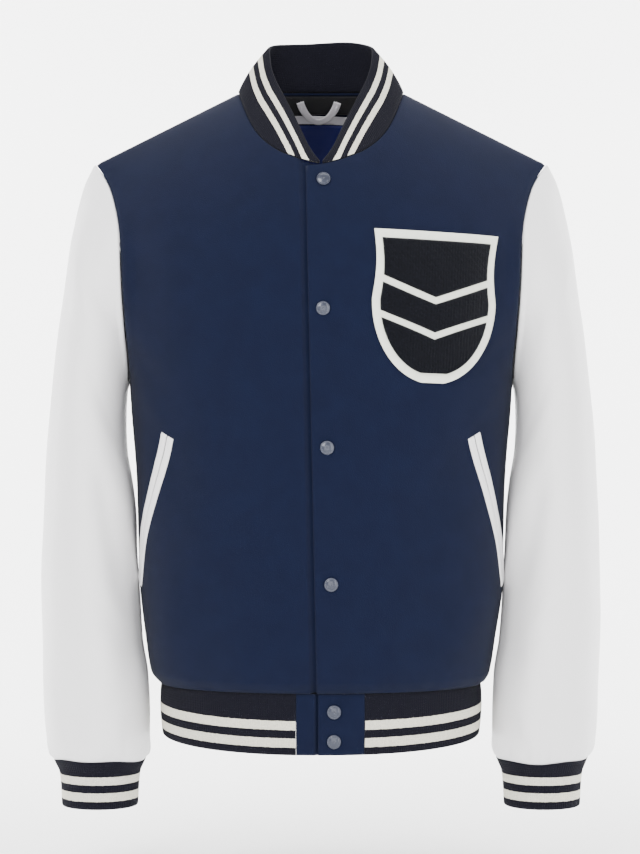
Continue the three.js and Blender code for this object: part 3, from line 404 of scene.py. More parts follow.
class JacketSizes(bpy.types.PropertyGroup):
    """Sizes of cloth, ribs and sewing"""
    wool_wall: FloatProperty(name="Wool", description="Thickness of the body cloth",
                             default=0.0020, unit="LENGTH", subtype="DISTANCE")
    leather_wall: FloatProperty(name="Leather", description="Thickness of the sleeve sheet",
                                default=0.0016, unit="LENGTH", subtype="DISTANCE")
    knit_wall: FloatProperty(name="Knit", description="Thickness of the rib bands",
                             default=0.0026, unit="LENGTH", subtype="DISTANCE")
    block_wall: FloatProperty(name="End block", description="Thickness of the folded wool end blocks",
                              default=0.0030, unit="LENGTH", subtype="DISTANCE")
    rib_pitch: FloatProperty(name="Rib pitch", description="Distance from rib to rib",
                             default=0.0023, unit="LENGTH", subtype="DISTANCE")
    rib_height: FloatProperty(name="Rib height", description="How far a rib stands proud",
                              default=0.0006, unit="LENGTH", subtype="DISTANCE")
    felt: FloatProperty(name="Felt", description="Thickness of the patch ground",
                        default=0.0016, unit="LENGTH", subtype="DISTANCE")
    chenille: FloatProperty(name="Chenille pile", description="Height of the looped pile",
                            default=0.0032, unit="LENGTH", subtype="DISTANCE")
    tape: FloatProperty(name="Tape", description="Thickness of the inner tapes",
                        default=0.0010, unit="LENGTH", subtype="DISTANCE")
    welt: FloatProperty(name="Welt", description="Thickness of the pocket welts",
                        default=0.0016, unit="LENGTH", subtype="DISTANCE")
    snap_radius: FloatProperty(name="Snap radius", description="Radius of a snap cap",
                               default=0.0070, unit="LENGTH", subtype="DISTANCE")
    detail: IntProperty(name="Detail", description="Grid cells for each row of the cut tables", default=7)


def linear(hex_colour):
    """sRGB hex to a linear colour: each channel through the sRGB curve."""
    parts = [int(hex_colour[i:i + 2], 16) / 255 for i in (1, 3, 5)]
    return [c / 12.92 if c <= 0.04045 else ((c + 0.055) / 1.055) ** 2.4 for c in parts] + [1.0]


def colour_property(name, description, hex_colour):
    """A colour setting whose default is an sRGB hex value turned to linear."""
    return FloatVectorProperty(name=name, description=description, subtype="COLOR", size=4,
                               min=0, max=1, default=linear(hex_colour))


class JacketColours(bpy.types.PropertyGroup):
    """Colours of the cloths and fittings"""
    wool: colour_property("Wool", "Body cloth", "#0a1024")
    leather: colour_property("Leather", "Sleeves and welts", "#e2e1e2")
    knit: colour_property("Knit", "Ground of the rib bands", "#0f0f17")
    stripe: colour_property("Stripe", "Stripes of the rib bands", "#cbc8ba")
    felt: colour_property("Felt", "Ground of the patch", "#dcdfd3")
    chenille: colour_property("Chenille", "Pile of the patch", "#090a0f")
    snap: colour_property("Snap", "Lacquer of the snaps", "#1d2334")
    black_tape: colour_property("Black tape", "Tape of the back neck", "#141317")
    pale_tape: colour_property("Pale tape", "Hanger loop and piping", "#cfccd2")
    label: colour_property("Label", "Plain woven label", "#0a1560")


def smooth(t):
    """Goes from 0 to 1 with level ends: three times the square less twice the cube."""
    t = np.clip(t, 0, 1)
    return t * t * (3 - 2 * t)


def mix(a, b, t):
    """Straight blend from a to b."""
    return a + (b - a) * t


def follow(rows, at):
    """Values of a table between its rows: cubic pieces whose tangents are the harmonic mean of the
    slopes beside them, so the curve never overshoots. The first column is the place."""
    x, y = rows[:, 0], rows[:, 1:]
    slope = np.diff(y, axis=0) / np.diff(x)[:, None]
    both = slope[:-1] + slope[1:]
    bend = slope[:-1] * slope[1:]
    tangent = np.zeros_like(y)
    tangent[0], tangent[-1] = slope[0], slope[-1]
    tangent[1:-1] = np.where(bend > 0, 2 * bend / np.where(bend > 0, both, 1), 0)
    at = np.clip(np.asarray(at, float), x[0], x[-1])
    i = np.clip(np.searchsorted(x, at, "right") - 1, 0, len(x) - 2)
    span = (x[i + 1] - x[i])[..., None]
    t = (at - x[i])[..., None] / span
    h = (1 - t) ** 2
    blended = y[i] * (1 + 2 * t) * h + y[i + 1] * t * t * (3 - 2 * t)
    out = blended + span * (tangent[i] * t * h - tangent[i + 1] * t * t * (1 - t))
    return out[..., 0] if out.shape[-1] == 1 else out


def width(z):
    """Half width of the body at a height, from its table."""
    return follow(BODY[:, :2], z)


def side_x(z):
    """Side edge of a panel: the body's half width below the underarm, the armhole's x above it."""
    return np.where(z < UNDERARM_Z, width(z), np.minimum(follow(ARMHOLE, z), width(z)))


def ridge_z(x):
    """Height of the shoulder seam: straight outside the neck, carried on over it as a hyperbola."""
    over = np.abs(x)
    inside = math.hypot(NECK_X, RIDGE_ROUND) - np.hypot(over, RIDGE_ROUND)
    return SHOULDER_SLOPE * np.where(over < NECK_X, inside, NECK_X - over)


def back_top_z(x):
    """Top edge of the back: a parabola at the neck, the shoulder ridge outside it."""
    over = np.abs(x)
    return np.where(over < NECK_X, BACK_NECK_Z * (1 - (over / NECK_X) ** 2), ridge_z(over))


def turn_at(x, z):
    """Angle of the superellipse section at which the body has this x."""
    share = np.minimum(1, np.abs(x) / width(z))
    return np.sign(x) * np.arcsin(share ** (SECTION_POWER / 2))


def turned_x(turn, z):
    """The body's x at an angle of the superellipse section."""
    return np.sign(turn) * width(z) * np.abs(np.sin(turn)) ** (2 / SECTION_POWER)


def body_point(face, turn, z):
    """Body surface: a superellipse section at height z, at an angle from the middle of the front
    (face -1) or back (face 1), whose depth grows from the shoulder ridge down to the chest."""
    x = turned_x(turn, z)
    fall = np.clip((ridge_z(x) - z) / SHOULDER_DROP[face], 0, 1)
    swell = (1 - (1 - fall) ** 2) ** SHOULDER_POWER
    depth = follow(BODY[:, [0, 2 if face < 0 else 3]], z)
    y = depth * swell * np.maximum(0, np.cos(turn)) ** (2 / SECTION_POWER)
    return np.stack([x, face * (y + SEAM_GAP / 2), z + 0 * x], axis=-1)


def unit(v):
    """Vectors divided by their length."""
    return v / np.maximum(np.linalg.norm(v, axis=-1, keepdims=True), 1e-12)


def body_normal(face, turn, z):
    """Direction out of the body: the cross product of small steps round it and up it."""
    step, rise = 0.004, 0.0005
    across = body_point(face, turn + step, z) - body_point(face, turn - step, z)
    up = body_point(face, turn, z + rise) - body_point(face, turn, z - rise)
    return unit(-face * np.cross(across, up))


def strokes(table, face, x, z):
    """Height of soft folds: each is a bell across a line from one place to another, strongest
    halfway along it."""
    height = np.zeros(np.broadcast(x, z).shape)
    for side, x1, z1, x2, z2, reach, rise in table:
        if side == face:
            dx, dz = x2 - x1, z2 - z1
            along = np.clip(((x - x1) * dx + (z - z1) * dz) / (dx * dx + dz * dz), 0, 1)
            away = np.hypot(x - x1 - along * dx, z - z1 - along * dz)
            height += rise * np.exp(-(away / reach) ** 2) * (0.45 + 0.55 * np.sin(math.pi * along))
    return height


def drift(x, z, seed, scale):
    """Slow uneven swell of cloth: a sum of five fixed plane waves of unlike direction and length."""
    rng = np.random.default_rng(seed)
    total = np.zeros(np.broadcast(x, z).shape)
    for _ in range(5):
        angle, phase = rng.uniform(0, math.pi), rng.uniform(0, 2 * math.pi)
        wave = 2 * math.pi / (scale * rng.uniform(0.7, 1.6))
        total += np.sin(wave * (x * math.cos(angle) + z * math.sin(angle)) + phase)
    return total / 5


def grid_normals(points, outward, closed):
    """Directions across a grid: the cross product of the central differences of its two ways."""
    if closed:
        across = np.roll(points, -1, axis=1) - np.roll(points, 1, axis=1)
    else:
        across = np.gradient(points, axis=1)
    up = np.gradient(points, axis=0)
    return unit(outward * np.cross(across, up))


def make_mesh(name, outer, inner, closed, uv, material, inner_shift=0):
    """Closed wall between an outer and an inner grid of the same size, with rims where it ends. The
    UV map holds metres along the cloth, moved on the inside by inner_shift; rims are shaded flat so
    that cut edges stay crisp."""
    rows, columns = outer.shape[:2]
    half = rows * columns
    across = columns if closed else columns - 1
    i, j = np.meshgrid(np.arange(rows - 1), np.arange(across), indexing="ij")
    k = (j + 1) % columns
    front = np.stack([i * columns + j, i * columns + k, (i + 1) * columns + k, (i + 1) * columns + j], -1)
    front = front.reshape(-1, 4)
    back = front[:, ::-1] + half
    ends = np.arange(across)
    nxt = (ends + 1) % columns
    low = np.stack([nxt, ends, ends + half, nxt + half], -1)
    top = (rows - 1) * columns
    high = np.stack([top + ends, top + nxt, top + nxt + half, top + ends + half], -1)
    rims = [low, high]
    if not closed:
        r = np.arange(rows - 1) * columns
        rims.append(np.stack([r, r + columns, r + columns + half, r + half], -1))
        e = r + columns - 1
        rims.append(np.stack([e + columns, e, e + half, e + columns + half], -1))
    faces = np.concatenate([front, back, *rims])
    points = np.concatenate([outer.reshape(-1, 3), inner.reshape(-1, 3)])
    a, b, c = (points[faces[:, m]] for m in range(3))
    d = points[faces[:, 3]]
    volume = (np.einsum("ij,ij->i", a, np.cross(b, c)) + np.einsum("ij,ij->i", a, np.cross(c, d))).sum()
    if volume < 0:
        faces = faces[:, ::-1]
    mesh = bpy.data.meshes.new(name)
    mesh.vertices.add(len(points))
    mesh.vertices.foreach_set("co", points.ravel())
    mesh.loops.add(faces.size)
    mesh.loops.foreach_set("vertex_index", faces.ravel().astype(np.int32))
    mesh.polygons.add(len(faces))
    mesh.polygons.foreach_set("loop_start", np.arange(0, faces.size, 4, dtype=np.int32))
    is_smooth = np.zeros(len(faces), bool)
    is_smooth[:len(front) + len(back)] = True
    mesh.polygons.foreach_set("use_smooth", is_smooth)
    flat = np.concatenate([uv.reshape(-1, 2), uv.reshape(-1, 2) + [0, inner_shift]])
    mesh.uv_layers.new(name="cloth").data.foreach_set("uv", flat[faces.ravel()].ravel())
    mesh.materials.append(material)
    mesh.update()
    mesh.validate()
    piece = bpy.data.objects.new(name, mesh)
    bpy.context.scene.collection.objects.link(piece)
    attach(piece, "root")
    return piece


def dense_ends(count, strength=0.72):
    """Shares from 0 to 1 that lie closer together near both ends, where seams need fine cells."""
    even = np.linspace(0, 1, count)
    return mix(even, smooth(even), strength)


def run(points, axis):
    """Distance along a grid's lines from their first point."""
    step = np.linalg.norm(np.diff(points, axis=axis), axis=-1)
    first = np.zeros_like(np.take(step, [0], axis=axis))
    return np.cumsum(np.concatenate([first, step], axis=axis), axis=axis)


def bell(distance, reach):
    """Bell curve: e to the minus square of distance over reach."""
    return np.exp(-(distance / reach) ** 2)


def level_at(row):
    """Height of a numbered row at the side seam and the armhole."""
    levels = np.concatenate([BODY_ROWS[:-1], ARMHOLE_ROWS])
    return np.interp(row, np.arange(len(levels)), levels)


def front_edge(row, side):
    """Lap and neckline edge of a front on its own side: x, height and the lap's own x at a row."""
    neck_x = np.interp(row, np.arange(NECK_ROW, TOP_ROW + 1), NECK_POINTS)
    share = np.clip((row - LAST_BODY_ROW) / (NECK_ROW - LAST_BODY_ROW), 0, 1)
    lap_top = follow(NECKLINE, NECK_POINTS[0])
    z = np.where(row < NECK_ROW, mix(UNDERARM_Z, lap_top, share), follow(NECKLINE, neck_x))
    z = np.where(row < LAST_BODY_ROW, level_at(row), z)
    lap = side * follow(LAP, z)
    under = UNDERLAP if side < 0 else 0
    points = np.concatenate([[side * follow(LAP, lap_top) - under], NECK_POINTS[1:]])
    around = np.interp(row, np.arange(NECK_ROW, TOP_ROW + 1), points)
    return np.where(row <= NECK_ROW, lap - under, around), z, lap


def front_places(side, detail):
    """Turn, height and step back of a front's grid. Rows run from the hem up, columns from the lap
    to the side seam; the under front's first columns lie flat beneath the lap."""
    row = np.linspace(0, TOP_ROW, TOP_ROW * detail + 1)[:, None]
    start, edge_z, lap = front_edge(row, side)
    side_z = level_at(row)
    last = start if side > 0 else np.maximum(start + UNDERLAP_LAST, lap + STEP_START)
    end = turn_at(side_x(side_z), side_z)
    share = dense_ends(FRONT_COLUMNS)[None, :]
    turn = mix(turn_at(last, edge_z), end, share)
    x = turned_x(turn, side_z)
    straight = np.clip((row - NECK_ROW) / (TOP_ROW - NECK_ROW), 0, 1) ** 2
    reach = turned_x(end, side_z) - start
    z = mix(edge_z, side_z, mix(smooth(share), np.clip((x - start) / reach, 0, 1), straight))
    if side > 0:
        return turn, z, np.zeros_like(z)
    first = np.maximum(start + UNDERLAP_FLAT, lap + STEP_END)
    steps = np.linspace(0, 1, STEP_COLUMNS, endpoint=False)[None, :]
    flat = np.concatenate([mix(start, first, steps), mix(first, last, steps)], axis=1)
    turn = np.concatenate([turn_at(flat, edge_z), turn], axis=1)
    z = np.concatenate([mix(edge_z, side_z, straight * (flat - start) / reach), z], axis=1)
    own = turned_x(turn, z)
    tucked = UNDERLAP_STEP * smooth((lap + STEP_START - own) / (STEP_START - STEP_END))
    return -turn, z, tucked


def back_places(detail):
    """Turn and height of the back's grid; its rows bend up towards the neck and shoulder seams."""
    row = np.linspace(0, TOP_ROW, TOP_ROW * detail + 1)[:, None]
    level = level_at(row)
    share = 2 * dense_ends(BACK_COLUMNS)[None, :] - 1
    full = turn_at(side_x(level), level)
    rough = width(level) * np.abs(np.sin(share * full)) ** (2 / SECTION_POWER)
    rise = np.clip((level - UNDERARM_Z) / (TIP_Z - UNDERARM_Z), 0, 1)
    z = level + rise * (back_top_z(rough) - TIP_Z)
    return share * full, z, np.zeros_like(z)


def panel_relief(face, x, z, edges, seed):
    """Height of the cloth over the plain body: broad folds, finer creases, the slow swell of milled
    wool, gathers that die out above the hem, and a narrow dip where each seam draws it in."""
    nearest = np.minimum.reduce(list(edges.values()))
    height = strokes(BODY_FOLDS, face, x, z) * smooth(nearest / FOLD_FADE)
    height += strokes(BODY_CREASES, face, x, z) * smooth(nearest / CREASE_FADE)
    height += SWELL["height"] * drift(x, z, seed, SWELL["length"]) * smooth(nearest / SWELL["fade"])
    gather = drift(x, 0.25 * z, seed + 1, GATHER["length"])
    gather += 0.5 * drift(x, 0.2 * z, seed + 2, GATHER["fine"])
    above = edges["hem"]
    height += GATHER["height"] * gather * bell(above, GATHER["reach"]) * smooth(above / GATHER["fade"])
    for name, away in edges.items():
        height -= SEAM_DIP * bell(away, SEAM_REACH[name])
    pucker = PUCKER["height"] * drift(x + 0.7 * z, z - 0.7 * x, seed + 3, PUCKER["length"])
    beside = edges["side"]
    return height + pucker * bell(beside, PUCKER["reach"]) * smooth(beside / PUCKER["fade"])


def panel_wall(name, face, places, thick, material, seed):
    """Cloth panel of the body: the relief stands out along the body's own direction, which turns
    level where the shoulder and side seams join two panels edge to edge."""
    turn, z, tucked = places
    base = body_point(face, turn, z)
    across, up = run(base, 1), run(base, 0)
    far = across[:, -1:] - across
    edges = {"hem": up, "top": up[-1:] - up}
    if face < 0:
        edges["side"], edges["lap"] = far, across
    else:
        edges["side"] = np.minimum(far, across)
    way = body_normal(face, turn, z)
    below = smooth((UNDERARM_Z + LEVEL_REACH - z) / LEVEL_REACH)
    outside = smooth((np.abs(base[..., 0]) - NECK_X) / LEVEL_REACH + 1)
    way[..., 1] *= mix(1, smooth(edges["top"] / LEVEL_REACH), outside)
    way[..., 1] *= mix(1, smooth(edges["side"] / LEVEL_REACH), below)
    way = unit(way)
    height = panel_relief(face, base[..., 0], z, edges, seed) - tucked
    outer = base + way * height[..., None]
    uv = np.stack([across, up], axis=-1)
    return make_mesh(name, outer, outer - way * thick, False, uv, material)


def armhole_ring(side, detail):
    """Armhole edge of the body: from the shoulder tip down the front, then up the back. Gives the
    points and the body's directions there."""
    cells = (TOP_ROW - LAST_BODY_ROW) * detail
    down = np.linspace(TOP_ROW, LAST_BODY_ROW, cells + 1)
    up = np.linspace(LAST_BODY_ROW, TOP_ROW, cells + 1)[1:-1]
    points, ways = [], []
    for face, rows in ((-1, down), (1, up)):
        level = level_at(rows)
        turn = side * turn_at(side_x(level), level)
        points.append(body_point(face, turn, level))
        ways.append(body_normal(face, turn, level))
    return np.concatenate(points), np.concatenate(ways)


def sleeve_frames(side, share):
    """Middle, half arm, half depth of the sleeve's rings at shares along it."""
    out_x, out_z, in_x, in_z, depth, lean = np.moveaxis(follow(SLEEVE, share), -1, 0)
    out = np.stack([side * out_x, lean, out_z], axis=-1)
    within = np.stack([side * in_x, lean, in_z], axis=-1)
    return (out + within) / 2, (out - within) / 2, depth


def ellipse(frames, angle):
    """Points of an ellipse from its middle, half arm and half depth."""
    middle, arm, depth = frames
    point = middle + arm * np.cos(angle)[..., None]
    point[..., 1] -= depth * np.sin(angle)
    return point


def sleeve_base(side, detail):
    """Plain sleeve: ellipses along the arm whose first ring is the armhole edge itself; the edge's
    own shape fades out over the sleeve head. Also gives the angle round each ring, the directions
    straight out from its middle, and the body's directions at the edge."""
    ring, ways = armhole_ring(side, detail)
    middle, arm, depth = sleeve_frames(side, np.zeros(1))
    offset = ring - middle
    along = (offset @ arm[0]) / (arm[0] @ arm[0])
    head = np.arctan2(-offset[:, 1] / depth, along)
    head = np.where(head < -1e-3, head + 2 * math.pi, head)
    share = dense_ends(SLEEVE_ROWS, 0.6)[:, None]
    left = 1 - smooth(share / HEAD_BLEND)
    even = 2 * math.pi * np.arange(len(ring)) / len(ring)
    angle = mix(even[None, :], head[None, :], left)
    rest = ring - ellipse((middle, arm, depth), head)
    base = ellipse(sleeve_frames(side, share), angle) + rest * left[..., None]
    base += SLEEVE_GAP * np.array([side, 1, 1]) * (1 - smooth(share / SLEEVE_GAP_SHARE))[..., None]
    middle = sleeve_frames(side, share[:, 0])[0][:, None, :]
    return base, angle, unit(base - middle), ways


def seam_wave(angle, side):
    """How far the cuff seam rises and falls round the wrist."""
    return sum(height * np.sin(count * angle + shift * side) for count, height, shift in CUFF_SEAM_WAVES)


def sleeve_relief(side, base, angle, down, up):
    """Height of the leather over its plain form: mapped folds, creases, puckers at the armhole, the
    gathers that bag over the cuff, and a narrow dip at both seams."""
    x, z = side * base[..., 0], base[..., 2]
    nearest = np.minimum(down, up)
    across = np.abs(np.sin(angle))
    height = np.zeros_like(z)
    for face, facing in ((-1, np.sin(angle) > 0), (1, np.sin(angle) <= 0)):
        there = strokes(SLEEVE_FOLDS, face, x, z) * across ** 0.5 * smooth(nearest / SLEEVE_FOLD_FADE)
        there += strokes(SLEEVE_CREASES[side], face, x, z) * smooth(nearest / SLEEVE_CREASE_FADE)
        height += np.where(facing, there, 0) * smooth(across / 0.25)
    slow = drift(x, z + base[..., 1], SLEEVE_SWELL["seed"] + side, SLEEVE_SWELL["length"])
    height += SLEEVE_SWELL["height"] * slow * smooth(nearest / SLEEVE_SWELL["fade"])
    puff = np.sin(9 * angle + side) + 0.8 * np.sin(17 * angle + 2 * side) + 0.5 * np.sin(31 * angle)
    pucker = np.sin(41 * angle + side) + 0.7 * np.sin(67 * angle)
    for wave, away, form in ((puff, up, CUFF_GATHER), (pucker, down, ARMHOLE_PUFF)):
        raised = form["rise"] + form["height"] * wave
        height += raised * bell(away, form["reach"]) * smooth(away / form["fade"])
    dips = bell(down, SLEEVE_DIPS["armhole"]) + SLEEVE_DIPS["cuff_depth"] * bell(up, SLEEVE_DIPS["cuff"])
    return height - SEAM_DIP * dips


def sleeve_wall(name, side, sizes, material):
    """Sleeve: the relief stands out from the plain rings, and the wall is laid inside it."""
    base, angle, way, seam_way = sleeve_base(side, sizes.detail)
    down, along = run(base, 0), run(base, 1)
    up = down[-1:] - down
    height = sleeve_relief(side, base, angle, down, up)
    outer = base + way * height[..., None]
    outer[..., 2] += seam_wave(angle, side) * bell(up, SEAM_WAVE_REACH)
    normal = grid_normals(outer, side, True)
    held = np.where((normal[0] * seam_way).sum(-1, keepdims=True) > 0.3, seam_way, normal[0])
    normal = unit(mix(held[None], normal, smooth(down / LEVEL_REACH)[..., None]))
    uv = np.stack([along, -down], axis=-1)
    return make_mesh(name, outer, outer - normal * sizes.leather_wall, True, uv, material)


def even_steps(points, parameter, count):
    """Parameter values that cut a finely sampled curve into equal lengths."""
    length = run(points[None], 1)[0]
    return np.interp(np.linspace(0, length[-1], count), length, parameter)


def band_shares(rows, length):
    """Shares across a band from its seam to its free edge, crowded where that edge turns round."""
    turned = EDGE_TURN / length
    flat = np.linspace(0, 1 - turned, rows, endpoint=False)
    return np.concatenate([flat, 1 - turned * (1 - np.sin(np.linspace(0, math.pi / 2, EDGE_ROWS)))])


def band_wall(name, base, closed, outward, foot, thick, rib_height, material):
    """Band of doubled cloth: the plain outer grid runs from the seam to the free edge, where both
    faces curve together as half an ellipse. Ribs are rounded ridges with narrow valleys, four
    columns wide, pressed flatter at the seam."""
    way = grid_normals(base, outward, closed)
    down = run(base, 0)
    up = down[-1:] - down
    if foot is not None:
        way = unit(mix(foot[None], way, smooth(down / LEVEL_REACH)[..., None]))
    turned = np.minimum(EDGE_TURN, 0.4 * down[-1:])
    body = np.sqrt(1 - np.clip(1 - up / turned, 0, 1) ** 2)
    columns = np.arange(base.shape[1])
    wave = np.abs(np.sin(math.pi * columns / RIB_COLUMNS)) ** 0.7 * body
    rib = rib_height * wave * mix(RIB_AT_SEAM, 1, smooth(down / RIB_FADE))
    half = (thick / 2 * body)[..., None]
    middle = base - way * thick / 2
    outer = middle + way * (half + rib[..., None])
    inner = middle - way * (half + (rib - rib_height * body)[..., None])
    uv = np.stack([run(base, 1), up], axis=-1)
    return make_mesh(name, outer, inner, closed, uv, material, PLAIN_INSIDE)


def cuff_base(side, sizes):
    """Plain cuff: ellipses whose half axes follow the table down from the wavy seam."""
    rib_count = int(2 * math.pi * CUFF[-1, 1] / sizes.rib_pitch)
    angle = 2 * math.pi * np.arange(rib_count * RIB_COLUMNS) / (rib_count * RIB_COLUMNS)
    length = CUFF_AT["top"] - CUFF_AT["end"]
    share = band_shares(BAND_ROWS, length)[:, None]
    half, depth = np.moveaxis(follow(CUFF, share), -1, 0)
    x = side * (CUFF_AT["x"] + half * np.cos(angle))
    y = CUFF_AT["y"] - depth * np.sin(angle)
    z = CUFF_AT["top"] - length * share + seam_wave(angle, side) * bell(length * share, SEAM_WAVE_REACH)
    return np.stack([x, y, z], axis=-1)


def hem_point(turn, share):
    """Hem band: a superellipse that narrows a little downwards, its lower edge dipping towards the
    middle of the front and of the back."""
    cosine = np.cos(turn)
    swell = HEM_BULGE * np.sin(math.pi * share)
    half = mix(*HEM_HALF, share) + swell
    reach = np.where(cosine > 0, mix(*HEM_FRONT, share), mix(*HEM_BACK, share)) + swell
    dip = np.where(cosine > 0, HEM_FRONT_DIP, HEM_BACK_DIP)
    end_z = HEM_SIDE_END_Z - dip * np.abs(cosine) ** 1.2
    x = np.sign(np.sin(turn)) * half * np.abs(np.sin(turn)) ** (2 / SECTION_POWER)
    y = -np.sign(cosine) * reach * np.abs(cosine) ** (2 / SECTION_POWER)
    return np.stack([x, y, mix(HEM_TOP_Z, end_z, share)], axis=-1)


def hem_turn(x):
    """Angle of the hem's superellipse at which its seam has this x."""
    return np.sign(x) * np.arcsin((np.abs(x) / HEM_HALF[0]) ** (SECTION_POWER / 2))


def hem_base(sizes):
    first = hem_turn(BLOCK_LEFT[1] + SEAM_GAP)
    last = 2 * math.pi + hem_turn(BLOCK_RIGHT[0] - SEAM_GAP)
    fine = np.linspace(first, last, HEM_SAMPLES)
    line = hem_point(fine, 0.5)
    length = run(line[None], 1)[0, -1]
    turn = even_steps(line, fine, int(length / sizes.rib_pitch) * RIB_COLUMNS + 1)
    return hem_point(turn[None, :], band_shares(BAND_ROWS, HEM_TOP_Z - HEM_SIDE_END_Z)[:, None])


def block_base(ends, under):
    """Plain end block on the hem's own surface; the under one steps back beneath the other."""
    x = np.linspace(*ends, BLOCK_COLUMNS)[None, :]
    share = band_shares(BAND_ROWS, HEM_TOP_Z - HEM_SIDE_END_Z)[:, None]
    base = hem_point(hem_turn(x), share)
    if under:
        behind = smooth((base[..., 0] - BLOCK_LEFT[0] + UNDER_BLOCK_START) / UNDER_BLOCK_REACH)
        base[..., 1] += UNDER_BLOCK_STEP * behind
    return base


def neck_ring(sizes):
    """Neckline seam from the right end of the V over the back neck to the left end, cut into equal
    lengths, with the body's directions there."""
    front_x = np.linspace(COLLAR_END_X, NECK_X, NECK_SAMPLES)
    front_z = follow(NECKLINE, front_x)
    back_x = np.linspace(-NECK_X, NECK_X, BACK_NECK_SAMPLES)[1:-1]
    back_z = back_top_z(back_x)
    x = np.concatenate([-front_x, back_x, front_x[::-1]])
    z = np.concatenate([front_z, back_z, front_z[::-1]])
    face = np.concatenate([-np.ones_like(front_x), np.ones_like(back_x), -np.ones_like(front_x)])
    turn = turn_at(x, z)
    at_front, at_back = body_point(-1, turn, z), body_point(1, turn, z)
    line = np.where(face[:, None] < 0, at_front, at_back)
    way = np.where(face[:, None] < 0, body_normal(-1, turn, z), body_normal(1, turn, z))
    way[:, 1] *= smooth(np.abs(line[:, 1]) / NECK_FADE)
    length = run(line[None], 1)[0]
    count = int(length[-1] / sizes.rib_pitch) * RIB_COLUMNS + 1
    place = np.linspace(0, length[-1], count)
    ring = np.stack([np.interp(place, length, line[:, k]) for k in range(3)], axis=-1)
    ways = np.stack([np.interp(place, length, way[:, k]) for k in range(3)], axis=-1)
    return ring, unit(ways), 2 * place / length[-1] - 1


def collar_base(sizes):
    """Collar: straight lines from the neckline seam up to its free edge, bulged slightly outwards;
    the free edge waves a little, as knit does."""
    ring, ways, around = neck_ring(sizes)
    top = follow(COLLAR, np.abs(around))
    top[:, 0] *= np.sign(around)
    high = smooth((1 - np.abs(around)) / 0.5)
    top[:, 2] += high * sum(rise * np.sin(count * around + shift) for count, rise, shift in COLLAR_WAVES)
    rise = top - ring
    length = np.linalg.norm(rise, axis=-1)
    shares = band_shares(COLLAR_ROWS, length.max())[:, None]
    share = COLLAR_GAP / length + (1 - COLLAR_GAP / length) * shares
    out = unit(ring * np.array([1, 1, 0]))
    bulge = COLLAR_BULGE * length * np.sin(math.pi * share)
    base = ring + rise * share[..., None] + out * bulge[..., None]
    return base, ways


def over_panel(face, x, z, lift, seed):
    """Point over a body panel's finished cloth, for what is laid on it or hung inside it."""
    far = np.full(np.broadcast(x, z).shape, 0.1)
    edges = {"hem": z - BODY_END_Z + 0 * far}
    if face < 0:
        edges["lap"] = np.abs(x - follow(LAP, z)) + 0 * far
    else:
        edges["top"] = back_top_z(x) - z + 0 * far
    edges["side"] = far
    turn = turn_at(x, z)
    height = panel_relief(face, x, z, edges, seed) + lift
    return body_point(face, turn, z) + body_normal(face, turn, z) * height[..., None]


def pillow(share, sharpness=6):
    """Cross-section of a soft strip: level in the middle, rounded down to an eighth at its edges."""
    return np.maximum(1 - np.abs(2 * share - 1) ** sharpness, 0) ** 0.5 * 0.875 + 0.125


def welt_wall(name, side, offsets, sizes, material):
    """Pocket welt: a folded strip along the slit, offset along the cloth's surface; its ends are cut
    on the slant of the pocket."""
    z = np.linspace(SLIT[-1, 0], SLIT[0, 0], WELT_ROWS)[:, None]
    turn = turn_at(follow(SLIT, z), z)
    across = np.linspace(0, 1, WELT_COLUMNS)[None, :]
    offset = mix(*offsets, across)
    z = z + offset * WELT_SLANT
    step = 0.002
    chord = body_point(-1, turn + step, z) - body_point(-1, turn - step, z)
    speed = np.linalg.norm(chord, axis=-1) / (2 * step)
    turn = np.minimum(math.pi / 2 - 0.02, turn + offset * math.sqrt(1 - WELT_SLANT ** 2) / speed)
    x = side * turned_x(turn, z)
    along = np.linspace(0, 1, WELT_ROWS)[:, None]
    soft = WELT_SOFT["height"] * drift(x, z, WELT_SOFT["seed"] + side, WELT_SOFT["length"])
    thick = sizes.welt * pillow(across) * np.clip(8 * pillow(along, 40) - 0.9, 0.2, 1)
    low = over_panel(-1, x, z, LAID_GAP, PANEL_SEEDS[side])
    high = over_panel(-1, x, z, LAID_GAP + thick + soft, PANEL_SEEDS[side])
    uv = np.stack([offset + 0 * z, z], axis=-1)
    return make_mesh(name, high, low, False, uv, material)


def shield_half(level):
    """Half width of the shield, as a share of its width, at a share of its height from the top."""
    upper = 1 - 0.05 * np.sin(math.pi * level / SHIELD_TURN)
    lower = np.sqrt(np.maximum(0, 1 - ((level - SHIELD_TURN) / (1 - SHIELD_TURN)) ** 2))
    return 0.5 * np.where(level < SHIELD_TURN, upper, lower)


def patch_place(x, z):
    """Place on the chest of a point of the flat patch: turned by its tilt, then moved."""
    tilt = PATCH["tilt"]
    turned = x * math.cos(tilt) - z * math.sin(tilt), x * math.sin(tilt) + z * math.cos(tilt)
    return PATCH["x"] + turned[0], PATCH["z"] + turned[1]


def patch_ground(sizes, material):
    """Felt shield with a cut edge, lying close on the chest."""
    u = np.linspace(-1, 1, FELT_COLUMNS)[None, :]
    level = np.minimum(np.linspace(0, 1, FELT_ROWS), SHIELD_TIP)[:, None]
    flat_x = u * PATCH["width"] * shield_half(level)
    flat_z = PATCH["height"] * (0.5 - level) + 0 * u
    x, z = patch_place(flat_x, flat_z)
    low = over_panel(-1, x, z, PATCH_GAP, PANEL_SEEDS[1])
    high = over_panel(-1, x, z, PATCH_GAP + sizes.felt, PANEL_SEEDS[1])
    return make_mesh("felt_shield", high, low, False, np.stack([x, z], -1), material)


